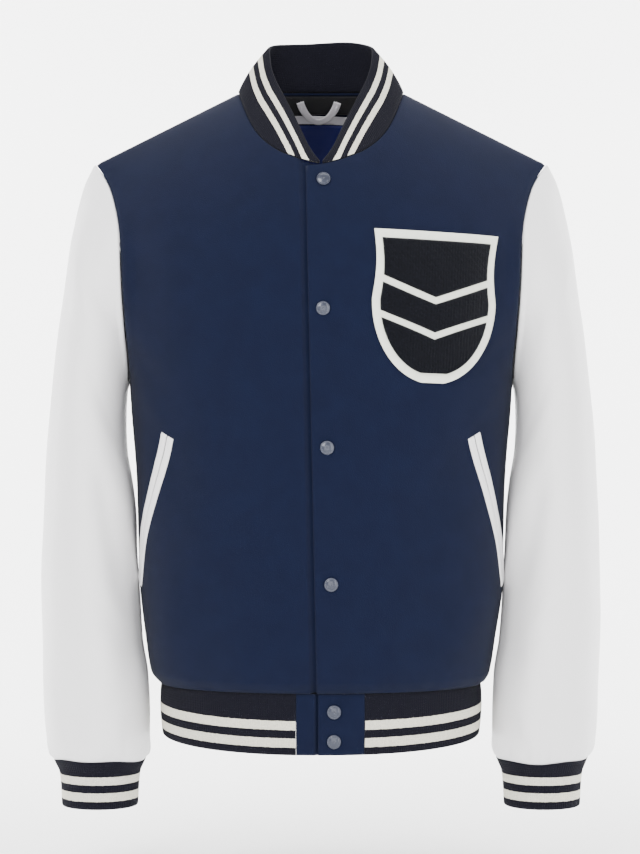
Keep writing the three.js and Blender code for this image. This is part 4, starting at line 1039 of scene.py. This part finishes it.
def pile_height(x, z, seed):
    """Chenille loops, 0 to 1: rows of chain stitches whose tops bulge loop by loop, unevenly."""
    sway = PILE_SWAY["reach"] * drift(x, z, seed, PILE_SWAY["length"])
    row = np.abs(np.sin(math.pi * (x + sway) / PILE_ROW))
    loop = np.abs(np.sin(math.pi * (z + 0.5 * sway) / PILE_LOOP + 2.2 * np.round((x + sway) / PILE_ROW)))
    rough = drift(x, z, seed + 1, PILE_SWAY["rough"])
    return np.clip(0.35 + 0.4 * row * loop + 0.25 * rough, 0, 1)


def patch_field(name, part, sizes, material, seed):
    """Chenille field of the shield: its loops stand on the felt, lower and rounded at its edges."""
    start, end = PATCH_FIELDS[part]
    wide = PATCH["width"] - 2 * PATCH_BORDER
    high = PATCH["height"] - PATCH_ENDS * PATCH_BORDER
    u = np.linspace(0, 1, PILE_COLUMNS)[None, :]
    v = np.linspace(0, 1, int((end - start) * high / PILE_STEP))[:, None]
    drop = CHEVRON_DROP * (1 - np.abs(2 * u - 1))
    first = start * high + (drop + PATCH_FIELD_GAP / 2 if start > 0 else 0)
    last = end * high + (drop - PATCH_FIELD_GAP / 2 if end < 1 else 0)
    level = np.minimum(mix(first, last, v) / high, FIELD_TIP)
    flat_x = (2 * u - 1) * wide * shield_half(level)
    flat_z = high * (0.5 - level)
    x, z = patch_place(flat_x, flat_z)
    inside = np.minimum(np.minimum(u, 1 - u) * wide, np.minimum(v, 1 - v) * (last - first))
    edge = np.sqrt(1 - (1 - np.clip(inside / PILE_EDGE, 0, 1)) ** 2)
    low_lift = PATCH_GAP + sizes.felt + LAID_GAP
    loops = mix(PILE_LOW, 1, pile_height(flat_x, flat_z, seed))
    pile = sizes.chenille * loops * mix(PILE_EDGE_LOW, 1, edge)
    low = over_panel(-1, x, z, low_lift, PANEL_SEEDS[1])
    top = over_panel(-1, x, z, low_lift + pile, PANEL_SEEDS[1])
    return make_mesh(name, top, low, False, np.stack([flat_x, flat_z], -1), material)


def snap_cap(name, x, z, sizes, material):
    """Snap cap: a profile turned round its axis, from the cloth over a rolled rim to a low dome."""
    if z > BODY_END_Z:
        at = over_panel(-1, np.array([x]), np.array([z]), LAID_GAP, PANEL_SEEDS[1])[0]
        way = body_normal(-1, turn_at(np.array([x]), np.array([z])), np.array([z]))[0]
    else:
        share = (HEM_TOP_Z - z) / (HEM_TOP_Z - HEM_SIDE_END_Z + HEM_FRONT_DIP)
        at, way = hem_point(hem_turn(x), share) + [0, -LAID_GAP, 0], np.array([0, -1.0, 0])
    around = np.linspace(0, 2 * math.pi, SNAP_SIDES, endpoint=False)[None, :]
    side = unit(np.cross(way, [0, 0, 1]))
    up = np.cross(side, way)
    radial = np.cos(around)[..., None] * side + np.sin(around)[..., None] * up
    profile = SNAP_PROFILE * sizes.snap_radius
    radius, height = profile[:, 0, None, None], profile[:, 1, None, None]
    shell = at + radial * radius + way * height
    under = at + radial * radius * SNAP_UNDER[0] + way * height * SNAP_UNDER[1]
    uv = np.stack([around + 0 * profile[:, :1], profile[:, 1:] + 0 * around], axis=-1)
    return make_mesh(name, shell, under, True, uv, material)


def inner_strip(name, strip, thick, sizes, material):
    """Flat strip sewn inside the back, from one height to another below the neck seam; its long
    edges are folded under, so they are a little fuller than its middle."""
    u = np.linspace(0, 1, STRIP_COLUMNS)[None, :]
    v = np.linspace(0, 1, STRIP_ROWS)[:, None]
    x = strip["x"] + strip["half"] * (2 * u - 1) + 0 * v
    z = back_top_z(x) - BACK_NECK_Z + mix(strip["top"], strip["end"], v) + strip["slope"] * (2 * u - 1)
    depth = sizes.wool_wall + UNDER_GAP
    full = thick * pillow(v, 24) * pillow(u, 40) * (1 - 0.25 * np.sin(math.pi * v) ** 0.5)
    near = over_panel(1, x, z, -depth - full, BACK_SEED)
    far = over_panel(1, x, z, -depth + 0 * full, BACK_SEED)
    uv = np.stack([x, z], axis=-1)
    return make_mesh(name, near, far, False, uv, material)


def loop_line(sizes, share):
    """Middle of the hanger loop's tape: it sags as a flattened arc and swings free of the cloth
    between its two sewn ends."""
    x = LOOP["x"] + LOOP["half"] * share
    z = LOOP["top"] - LOOP["sag"] * np.maximum(1 - share ** 2, 0) ** 0.8
    depth = sizes.wool_wall + UNDER_GAP + sizes.tape + LAID_GAP + LOOP["off"]
    line = over_panel(1, x, z, -depth, BACK_SEED)
    line[..., 1] -= LOOP["swing"] * (1 - share ** 4)
    return line


def hanger_loop(sizes, material):
    """Narrow tape along the sagging line; between its flat sewn ends it turns edge on to the eye."""
    share = np.linspace(-1, 1, LOOP_STEPS)
    line = loop_line(sizes, share)
    along = unit(np.gradient(line, axis=0) * np.array([1, 0, 1]))
    across = np.stack([-along[:, 2], 0 * share, along[:, 0]], axis=-1)
    lean = (LOOP_TWIST * np.maximum(1 - np.abs(share) ** 3, 0))[:, None]
    across = across * np.cos(lean) + np.array([0, -1, 0]) * np.sin(lean)
    face = unit(np.cross(along, across))
    face *= np.where(face[:, 1:2] > 0, -1, 1)
    over = np.linspace(-0.5, 0.5, LOOP_COLUMNS)[None, :, None] * LOOP["width"]
    near = line[:, None] + across[:, None] * over + face[:, None] * LOOP["thick"]
    far = line[:, None] + across[:, None] * over
    uv = np.stack(np.broadcast_arrays(share[:, None] * LOOP["half"], over[..., 0]), axis=-1)
    return make_mesh("hanger_tape", near, far, False, uv, material)


def stitches(name, centres, along, out, length, radius, material):
    """Short thread stitches as one mesh: each is a grid bent round a long ellipsoid, half sunk in
    the cloth, placed by its centre, its own line and the cloth's direction."""
    turn = np.linspace(0, 2 * math.pi, STITCH_SIDES, endpoint=False)
    rise = np.linspace(-math.pi / 2 + 0.15, math.pi / 2 - 0.15, STITCH_RINGS)
    along, out = unit(along), unit(out)
    side = np.cross(along, out)
    ring = np.cos(turn)[:, None, None] * side + np.sin(turn)[:, None, None] * out
    points = centres + ring[:, None] * (radius * np.cos(rise) ** 0.6)[None, :, None, None]
    points = points + along * (length / 2 * np.sin(rise))[None, :, None, None]
    points = np.moveaxis(points, 2, 0)
    count = len(centres)
    j, i = np.meshgrid(np.arange(STITCH_RINGS - 1), np.arange(STITCH_SIDES))
    k = (i + 1) % STITCH_SIDES
    quad = np.stack([i * STITCH_RINGS + j, k * STITCH_RINGS + j,
                     k * STITCH_RINGS + j + 1, i * STITCH_RINGS + j + 1], -1).reshape(-1, 4)
    faces = (quad[None] + (np.arange(count) * STITCH_SIDES * STITCH_RINGS)[:, None, None]).reshape(-1, 4)
    mesh = bpy.data.meshes.new(name)
    mesh.from_pydata(points.reshape(-1, 3), [], faces)
    mesh.shade_smooth()
    mesh.materials.append(material)
    piece = bpy.data.objects.new(name, mesh)
    bpy.context.scene.collection.objects.link(piece)
    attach(piece, "root")
    return piece


def tape_stitches(sizes, material):
    """Two rows of stitches along the neck tape."""
    half = TAPE["half"] - TAPE_SEWING["end"]
    x = np.arange(-half, half, STITCH_PITCH)
    rows = []
    for share in TAPE_SEWING["rows"]:
        z = back_top_z(x) - BACK_NECK_Z + mix(TAPE["top"], TAPE["end"], share)
        depth = sizes.wool_wall + UNDER_GAP + sizes.tape * TAPE_SEWING["depth"]
        rows.append(over_panel(1, x, z, -depth, BACK_SEED))
    centres = np.concatenate(rows)
    along = np.concatenate([np.gradient(row, axis=0) for row in rows])
    out = np.tile([0, -1.0, 0], (len(centres), 1))
    length = STITCH_PITCH * TAPE_SEWING["fill"]
    return stitches("tape_sewing", centres, along, out, length, TAPE_SEWING["radius"],
                    material)


def loop_tacks(sizes, material):
    """Bar tacks over both ends of the hanger loop: close stitches across the tape."""
    centres = []
    for end in (-1, 1):
        share = end * np.linspace(TACKS["from"], TACKS["to"], TACKS["lines"])
        line = loop_line(sizes, share)
        for over in np.linspace(-0.4, 0.4, TACKS["across"]):
            centres.append(line + [0, -LOOP["thick"], over * LOOP["width"]])
    centres = np.concatenate(centres)
    along = np.tile([0, 0, 1.0], (len(centres), 1))
    out = np.tile([0, -1.0, 0], (len(centres), 1))
    return stitches("loop_tacks", centres, along, out, TACKS["length"], TACKS["radius"],
                    material)


def node(tree, kind, settings=None, **links):
    """Adds a shader node. Settings go on the node itself. Each link gives an input, by its name or
    as the letter i and its number, a value or another node's socket."""
    made = tree.nodes.new("ShaderNode" + kind)
    for key, value in (settings or {}).items():
        setattr(made, key, value)
    for key, value in links.items():
        socket = made.inputs[int(key[1:])] if key[0] == "i" and key[1:].isdigit() else made.inputs[
            key.replace("_", " ")]
        if isinstance(value, bpy.types.NodeSocket):
            tree.links.new(value, socket)
        else:
            socket.default_value = value
    return made


def new_material(name, **values):
    """Material with one Principled shader; values are its inputs by name, set once."""
    material = bpy.data.materials.new(name)
    material.use_nodes = True
    shader = material.node_tree.nodes["Principled BSDF"]
    for key, value in values.items():
        shader.inputs[key.replace("_", " ")].default_value = value
    return material, material.node_tree, shader


def bumped(tree, shader, height, strength, distance):
    """Lets a height pattern tilt the shader's normal."""
    bump = node(tree, "Bump", Height=height, Strength=strength, Distance=distance)
    tree.links.new(bump.outputs["Normal"], shader.inputs["Normal"])


def mottled(tree, shader, colour, coords, scale, low, high):
    """Base colour that shifts a little in brightness, in soft patches of a given scale."""
    cloud = node(tree, "TexNoise", Vector=coords, Scale=scale, Detail=4.0)
    level = node(tree, "MapRange", i0=cloud.outputs["Fac"], i1=0.3, i2=0.7, i3=low, i4=high)
    tint = node(tree, "HueSaturation", Value=level.outputs[0], Color=colour)
    tree.links.new(tint.outputs["Color"], shader.inputs["Base Color"])


def wool_material(colour):
    """Milled wool melton: matt felted nap; the eye sees a soft fibre mottle and a pale edge sheen."""
    material, tree, shader = new_material("Melton", Roughness=1.0, Specular_IOR_Level=0.08,
                                          Sheen_Weight=0.03, Sheen_Roughness=0.6)
    coords = node(tree, "TexCoord").outputs["Object"]
    mottled(tree, shader, colour, coords, WOOL_PATCH, 0.93, 1.07)
    nap = node(tree, "TexNoise", Vector=coords, Scale=WOOL_NAP, Detail=3.0)
    bumped(tree, shader, nap.outputs["Fac"], 0.35, 0.0005)
    return material


def leather_material(colour):
    """Smooth finished leather sheet: semi-matt coat over a fine pebble grain of about 1.2 mm."""
    material, tree, shader = new_material("Leather", Base_Color=colour, Roughness=0.46,
                                          Coat_Weight=0.12, Coat_Roughness=0.35)
    coords = node(tree, "TexCoord").outputs["Object"]
    warp = node(tree, "TexNoise", Vector=coords, Scale=LEATHER_WARP)
    moved = node(tree, "VectorMath", {"operation": "MULTIPLY_ADD"}, i0=warp.outputs["Color"],
                 i1=(0.0009, 0.0009, 0.0009), i2=coords)
    grain = node(tree, "TexVoronoi", {"feature": "SMOOTH_F1"}, Vector=moved.outputs[0],
                 Scale=LEATHER_PEBBLE)
    wrinkle = node(tree, "TexNoise", Vector=coords, Scale=LEATHER_WRINKLE, Detail=5.0)
    height = node(tree, "MapRange", i0=wrinkle.outputs["Fac"], i3=0.0, i4=1.2)
    both = node(tree, "Math", {"operation": "ADD"}, i0=grain.outputs["Distance"], i1=height.outputs[0])
    bumped(tree, shader, both.outputs[0], 0.20, 0.0005)
    rough = node(tree, "MapRange", i0=wrinkle.outputs["Fac"], i3=0.40, i4=0.55)
    tree.links.new(rough.outputs[0], shader.inputs["Roughness"])
    return material


def knit_material(name, ground, stripe, stripes):
    """Worsted 1x1 rib knit, striped by yarn changes; the eye sees small V stitches along each rib.
    Stripes follow the distance from the free edge, kept in the UV map in metres."""
    material, tree, shader = new_material(name, Roughness=1.0, Specular_IOR_Level=0.1,
                                          Sheen_Weight=0.03, Sheen_Roughness=0.5)
    uv = node(tree, "UVMap", {"uv_map": "cloth"}).outputs["UV"]
    parts = node(tree, "SeparateXYZ", Vector=uv)
    along = parts.outputs["Y"]
    jitter = node(tree, "TexNoise", {"noise_dimensions": "2D"}, Vector=uv, Scale=KNIT_JITTER)
    shift = node(tree, "MapRange", i0=jitter.outputs["Fac"], i3=-0.0005, i4=0.0005)
    moved = node(tree, "Math", {"operation": "ADD"}, i0=along, i1=shift.outputs[0]).outputs[0]
    mask = None
    for low, high in stripes:
        hit = node(tree, "Math", {"operation": "COMPARE"}, i0=moved, i1=(low + high) / 2,
                   i2=(high - low) / 2).outputs[0]
        if mask is not None:
            hit = node(tree, "Math", {"operation": "MAXIMUM"}, i0=mask, i1=hit).outputs[0]
        mask = hit
    yarn = node(tree, "Mix", {"data_type": "RGBA"}, i0=mask, i6=ground, i7=stripe).outputs[2]
    coords = node(tree, "TexCoord").outputs["Object"]
    mottled(tree, shader, yarn, coords, KNIT_FLECK, 0.88, 1.1)
    stitch = node(tree, "TexWave", {"wave_type": "BANDS", "bands_direction": "Y", "wave_profile": "SIN"},
                  Vector=uv, Scale=STITCH_WAVES, Distortion=1.2, Detail=2.0, Detail_Scale=400.0)
    bumped(tree, shader, stitch.outputs["Fac"], 0.45, 0.0005)
    return material


def felt_material(colour):
    """Pressed wool felt: matt, with short crossed fibres."""
    material, tree, shader = new_material("Felt", Roughness=1.0, Specular_IOR_Level=0.15,
                                          Sheen_Weight=0.1, Sheen_Roughness=0.5)
    coords = node(tree, "TexCoord").outputs["Object"]
    mottled(tree, shader, colour, coords, FELT_PATCH, 0.94, 1.04)
    fibre = node(tree, "TexNoise", Vector=coords, Scale=FELT_FIBRE, Detail=4.0)
    bumped(tree, shader, fibre.outputs["Fac"], 0.4, 0.0004)
    return material


def chenille_material(colour):
    """Looped chenille pile: dark between the loops, soft pale sheen on their tops."""
    material, tree, shader = new_material("Chenille", Roughness=1.0, Specular_IOR_Level=0.08,
                                          Sheen_Weight=0.10, Sheen_Roughness=0.45)
    coords = node(tree, "TexCoord").outputs["Object"]
    mottled(tree, shader, colour, coords, CHENILLE_TUFT, 0.7, 1.5)
    fluff = node(tree, "TexNoise", Vector=coords, Scale=CHENILLE_FLUFF, Detail=3.0)
    bumped(tree, shader, fluff.outputs["Fac"], 0.8, 0.0006)
    return material


def snap_material(colour):
    """Lacquered brass snap cap: a coloured enamel under a clear coat, mirror-smooth at the rim."""
    material, _, _ = new_material("Snap lacquer", Base_Color=colour, Metallic=0.35, Roughness=0.32,
                                  Coat_Weight=0.6, Coat_Roughness=0.08)
    return material


def woven_material(name, colour, waves, roughness=0.85):
    """Narrow plain-woven tape: crossed threads, drawn as waves of a given scale."""
    material, tree, shader = new_material(name, Base_Color=colour, Roughness=roughness,
                                          Sheen_Weight=0.1, Sheen_Roughness=0.4)
    uv = node(tree, "UVMap", {"uv_map": "cloth"}).outputs["UV"]
    warp = node(tree, "TexWave", {"bands_direction": "X"}, Vector=uv, Scale=waves)
    weft = node(tree, "TexWave", {"bands_direction": "Y"}, Vector=uv, Scale=waves)
    cross = node(tree, "Math", {"operation": "MULTIPLY"}, i0=warp.outputs["Fac"], i1=weft.outputs["Fac"])
    bumped(tree, shader, cross.outputs[0], 0.4, 0.0003)
    return material


def shared(name, make, *values):
    """Material of that name, made on first use so that pieces cut from one cloth share it."""
    known = MATERIALS.get(name)
    if known is None:
        known = MATERIALS[name] = make(*values)
    return known


def declared(piece, node_name):
    """Hides the imported node that a piece replaces."""
    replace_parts(piece, node_name)


class JACKET_OT_panels(bpy.types.Operator):
    """Cut the two fronts and the back from wool"""
    bl_idname = "jacket.panels"
    bl_label = "Body panels"

    def execute(self, context):
        sizes, colours = context.scene.jacket_sizes, context.scene.jacket_colours
        wool = shared("wool", wool_material, colours.wool)
        for side, name in ((1, "front_left"), (-1, "front_right")):
            piece = panel_wall("wool_" + name, -1, front_places(side, sizes.detail), sizes.wool_wall,
                               wool, PANEL_SEEDS[side])
            declared(piece, name)
        piece = panel_wall("wool_back", 1, back_places(sizes.detail), sizes.wool_wall,
                           wool, BACK_SEED)
        declared(piece, "back")
        return {"FINISHED"}


class JACKET_OT_sleeves(bpy.types.Operator):
    """Set in the two leather sleeves"""
    bl_idname = "jacket.sleeves"
    bl_label = "Sleeves"

    def execute(self, context):
        sizes, colours = context.scene.jacket_sizes, context.scene.jacket_colours
        leather = shared("leather", leather_material, colours.leather)
        for side, name in ((1, "sleeve_left"), (-1, "sleeve_right")):
            piece = sleeve_wall("leather_" + name, side, sizes, leather)
            declared(piece, name)
        return {"FINISHED"}


class JACKET_OT_bands(bpy.types.Operator):
    """Knit the collar, cuffs and hem band with their stripes"""
    bl_idname = "jacket.bands"
    bl_label = "Rib bands"

    def execute(self, context):
        sizes, colours = context.scene.jacket_sizes, context.scene.jacket_colours
        ground, stripe = colours.knit, colours.stripe
        cuff_knit = shared("cuff", knit_material, "Cuff rib knit", ground, stripe, CUFF_STRIPES)
        for side, name in ((1, "cuff_left"), (-1, "cuff_right")):
            piece = band_wall("knit_" + name, cuff_base(side, sizes), True, side, None,
                              sizes.knit_wall, sizes.rib_height, cuff_knit)
            declared(piece, name)
        hem_knit = shared("hem", knit_material, "Hem rib knit", ground, stripe, HEM_STRIPES)
        piece = band_wall("knit_hem", hem_base(sizes), False, -1, None,
                          sizes.knit_wall, sizes.rib_height, hem_knit)
        declared(piece, "hem_rib")
        collar_knit = shared("collar", knit_material, "Collar rib knit", ground, stripe, COLLAR_STRIPES)
        base, foot = collar_base(sizes)
        piece = band_wall("knit_collar", base, False, -1, foot,
                          sizes.knit_wall, sizes.rib_height, collar_knit)
        declared(piece, "collar")
        return {"FINISHED"}


class JACKET_OT_blocks(bpy.types.Operator):
    """Fold the two wool end blocks of the hem"""
    bl_idname = "jacket.blocks"
    bl_label = "Hem end blocks"

    def execute(self, context):
        sizes, colours = context.scene.jacket_sizes, context.scene.jacket_colours
        wool = shared("wool", wool_material, colours.wool)
        for name, ends, under in (("hem_block_left", BLOCK_LEFT, False),
                                  ("hem_block_right", BLOCK_RIGHT, True)):
            piece = band_wall("wool_" + name, block_base(ends, under), False, -1, None,
                              sizes.block_wall, 0, wool)
            declared(piece, name)
        return {"FINISHED"}


class JACKET_OT_pockets(bpy.types.Operator):
    """Sew two leather welts on each slanted pocket"""
    bl_idname = "jacket.pockets"
    bl_label = "Pocket welts"

    def execute(self, context):
        sizes, colours = context.scene.jacket_sizes, context.scene.jacket_colours
        leather = shared("leather", leather_material, colours.leather)
        far = WELT_SLIT / 2 + WELT_WIDTH
        for side, hand in ((1, "left"), (-1, "right")):
            for part, offsets in (("inner", (-far, -WELT_SLIT / 2)), ("outer", (WELT_SLIT / 2, far))):
                piece = welt_wall(f"welt_strip_{part}_{hand}", side, offsets, sizes, leather)
                declared(piece, f"welt_{part}_{hand}")
        return {"FINISHED"}


class JACKET_OT_patch(bpy.types.Operator):
    """Lay the plain shield patch of felt and chenille on the chest"""
    bl_idname = "jacket.patch"
    bl_label = "Chest patch"

    def execute(self, context):
        sizes, colours = context.scene.jacket_sizes, context.scene.jacket_colours
        pile = shared("chenille", chenille_material, colours.chenille)
        for seed, part in enumerate(PATCH_FIELDS):
            piece = patch_field("pile_" + part, part, sizes, pile, PILE_SEED + seed)
            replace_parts(piece, "patch_chenille_" + part)
        ground = patch_ground(sizes, shared("felt", felt_material, colours.felt))
        declared(ground, "patch_felt")
        return {"FINISHED"}


class JACKET_OT_snaps(bpy.types.Operator):
    """Set the six snap caps"""
    bl_idname = "jacket.snaps"
    bl_label = "Snaps"

    def execute(self, context):
        sizes, colours = context.scene.jacket_sizes, context.scene.jacket_colours
        lacquer = shared("snap", snap_material, colours.snap)
        for name, (x, z) in SNAPS.items():
            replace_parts(snap_cap("cap_" + name, x, z, sizes, lacquer), name)
        return {"FINISHED"}


class JACKET_OT_inside(bpy.types.Operator):
    """Sew the neck tape, piping, plain label and hanger loop inside the back"""
    bl_idname = "jacket.inside"
    bl_label = "Inside of the neck"

    def execute(self, context):
        sizes, colours = context.scene.jacket_sizes, context.scene.jacket_colours
        black = shared("black", woven_material, "Black twill tape", colours.black_tape, TWILL_WAVES)
        pale = shared("pale", woven_material, "Pale tape", colours.pale_tape, TAPE_WAVES)
        satin = shared("label", woven_material, "Woven label", colours.label, LABEL_WAVES, 0.6)
        tape = inner_strip("neck_binding", TAPE, sizes.tape, sizes, black)
        strip = inner_strip("pale_piping", PIPING, sizes.tape, sizes, pale)
        plain = inner_strip("plain_label", LABEL, sizes.tape, sizes, satin)
        loop = hanger_loop(sizes, pale)
        sewing = tape_stitches(sizes, black)
        tacks = loop_tacks(sizes, pale)
        declared(tape, "neck_tape")
        declared(strip, "neck_piping")
        declared(plain, "label")
        declared(loop, "hanger_loop")
        return {"FINISHED"}


def area_light(name, at, towards, size, power):
    """Soft rectangular light in metres and watts, its face turned to a point."""
    data = bpy.data.lights.new(name, "AREA")
    data.shape = "RECTANGLE"
    data.size, data.size_y = size
    data.energy = power
    lamp = bpy.data.objects.new(name, data)
    lamp.location = at
    lamp.rotation_euler = (Vector(towards) - Vector(at)).to_track_quat("-Z", "Y").to_euler()
    bpy.context.scene.collection.objects.link(lamp)
    return lamp


def backdrop(colour):
    """Pale sweep: a level floor that curves up into a wall behind the jacket."""
    bend = np.linspace(0, math.pi / 2, SWEEP_STEPS)
    start, radius = SWEEP["bend"], SWEEP["radius"]
    profile = [(SWEEP["front"], FLOOR_Z)]
    profile += [(start + radius * math.sin(a), FLOOR_Z + radius * (1 - math.cos(a))) for a in bend]
    profile.append((start + radius, SWEEP["top"]))
    points = [(x, y, z) for y, z in profile for x in (-SWEEP["half"], SWEEP["half"])]
    faces = [(2 * i, 2 * i + 1, 2 * i + 3, 2 * i + 2) for i in range(len(profile) - 1)]
    mesh = bpy.data.meshes.new("sweep")
    mesh.from_pydata(points, [], faces)
    mesh.shade_smooth()
    mesh.materials.append(new_material("Backdrop paper", Base_Color=colour, Roughness=1.0,
                                       Specular_IOR_Level=0.0)[0])
    sweep = bpy.data.objects.new("sweep", mesh)
    bpy.context.scene.collection.objects.link(sweep)
    return sweep


class JACKET_OT_stage(bpy.types.Operator):
    """Set the pale sweep, the soft lights and the camera"""
    bl_idname = "jacket.stage"
    bl_label = "Stage"

    def execute(self, context):
        scene = context.scene
        lamps = [area_light(name, at, JACKET_MIDDLE, size, power) for name, at, size, power in LAMPS]
        lamps += [area_light(name, at, SWEEP_MIDDLE, size, power)
                  for name, at, size, power in SWEEP_LAMPS]
        backdrop(linear("#ffffff"))
        world = bpy.data.worlds.new("studio")
        world.use_nodes = True
        background = world.node_tree.nodes["Background"]
        background.inputs["Color"].default_value = (1, 1, 1, 1)
        background.inputs["Strength"].default_value = WORLD_LIGHT
        scene.world = world
        data = bpy.data.cameras.new("view")
        data.lens = CAMERA_LENS
        camera = bpy.data.objects.new("view", data)
        camera.location = CAMERA_AT
        camera.rotation_euler = (math.pi / 2, 0, 0)
        scene.collection.objects.link(camera)
        scene.camera = camera
        return {"FINISHED"}


class JACKET_PT_sidebar(bpy.types.Panel):
    """Lists the jacket's pieces in the sidebar"""
    bl_label = "Varsity Jacket"
    bl_idname = "JACKET_PT_sidebar"
    bl_space_type = "VIEW_3D"
    bl_region_type = "UI"
    bl_category = "Jacket"

    def draw(self, context):
        for operator in OPERATORS:
            self.layout.operator(operator.bl_idname)
        for group in (context.scene.jacket_sizes, context.scene.jacket_colours):
            box = self.layout.box()
            for key in group.bl_rna.properties.keys():
                if key not in ("rna_type", "name"):
                    box.prop(group, key)


OPERATORS = (
    JACKET_OT_panels, JACKET_OT_sleeves, JACKET_OT_bands, JACKET_OT_blocks, JACKET_OT_pockets,
    JACKET_OT_patch, JACKET_OT_snaps, JACKET_OT_inside, JACKET_OT_stage,
)
CLASSES = (JacketSizes, JacketColours, *OPERATORS, JACKET_PT_sidebar)


def register():
    for cls in CLASSES:
        bpy.utils.register_class(cls)
    bpy.types.Scene.jacket_sizes = PointerProperty(type=JacketSizes)
    bpy.types.Scene.jacket_colours = PointerProperty(type=JacketColours)


def unregister():
    del bpy.types.Scene.jacket_colours
    del bpy.types.Scene.jacket_sizes
    for cls in reversed(CLASSES):
        bpy.utils.unregister_class(cls)


def main():
    register()
    for operator in OPERATORS:
        group, name = operator.bl_idname.split(".")
        getattr(getattr(bpy.ops, group), name)()


if __name__ == "__main__":
    main()
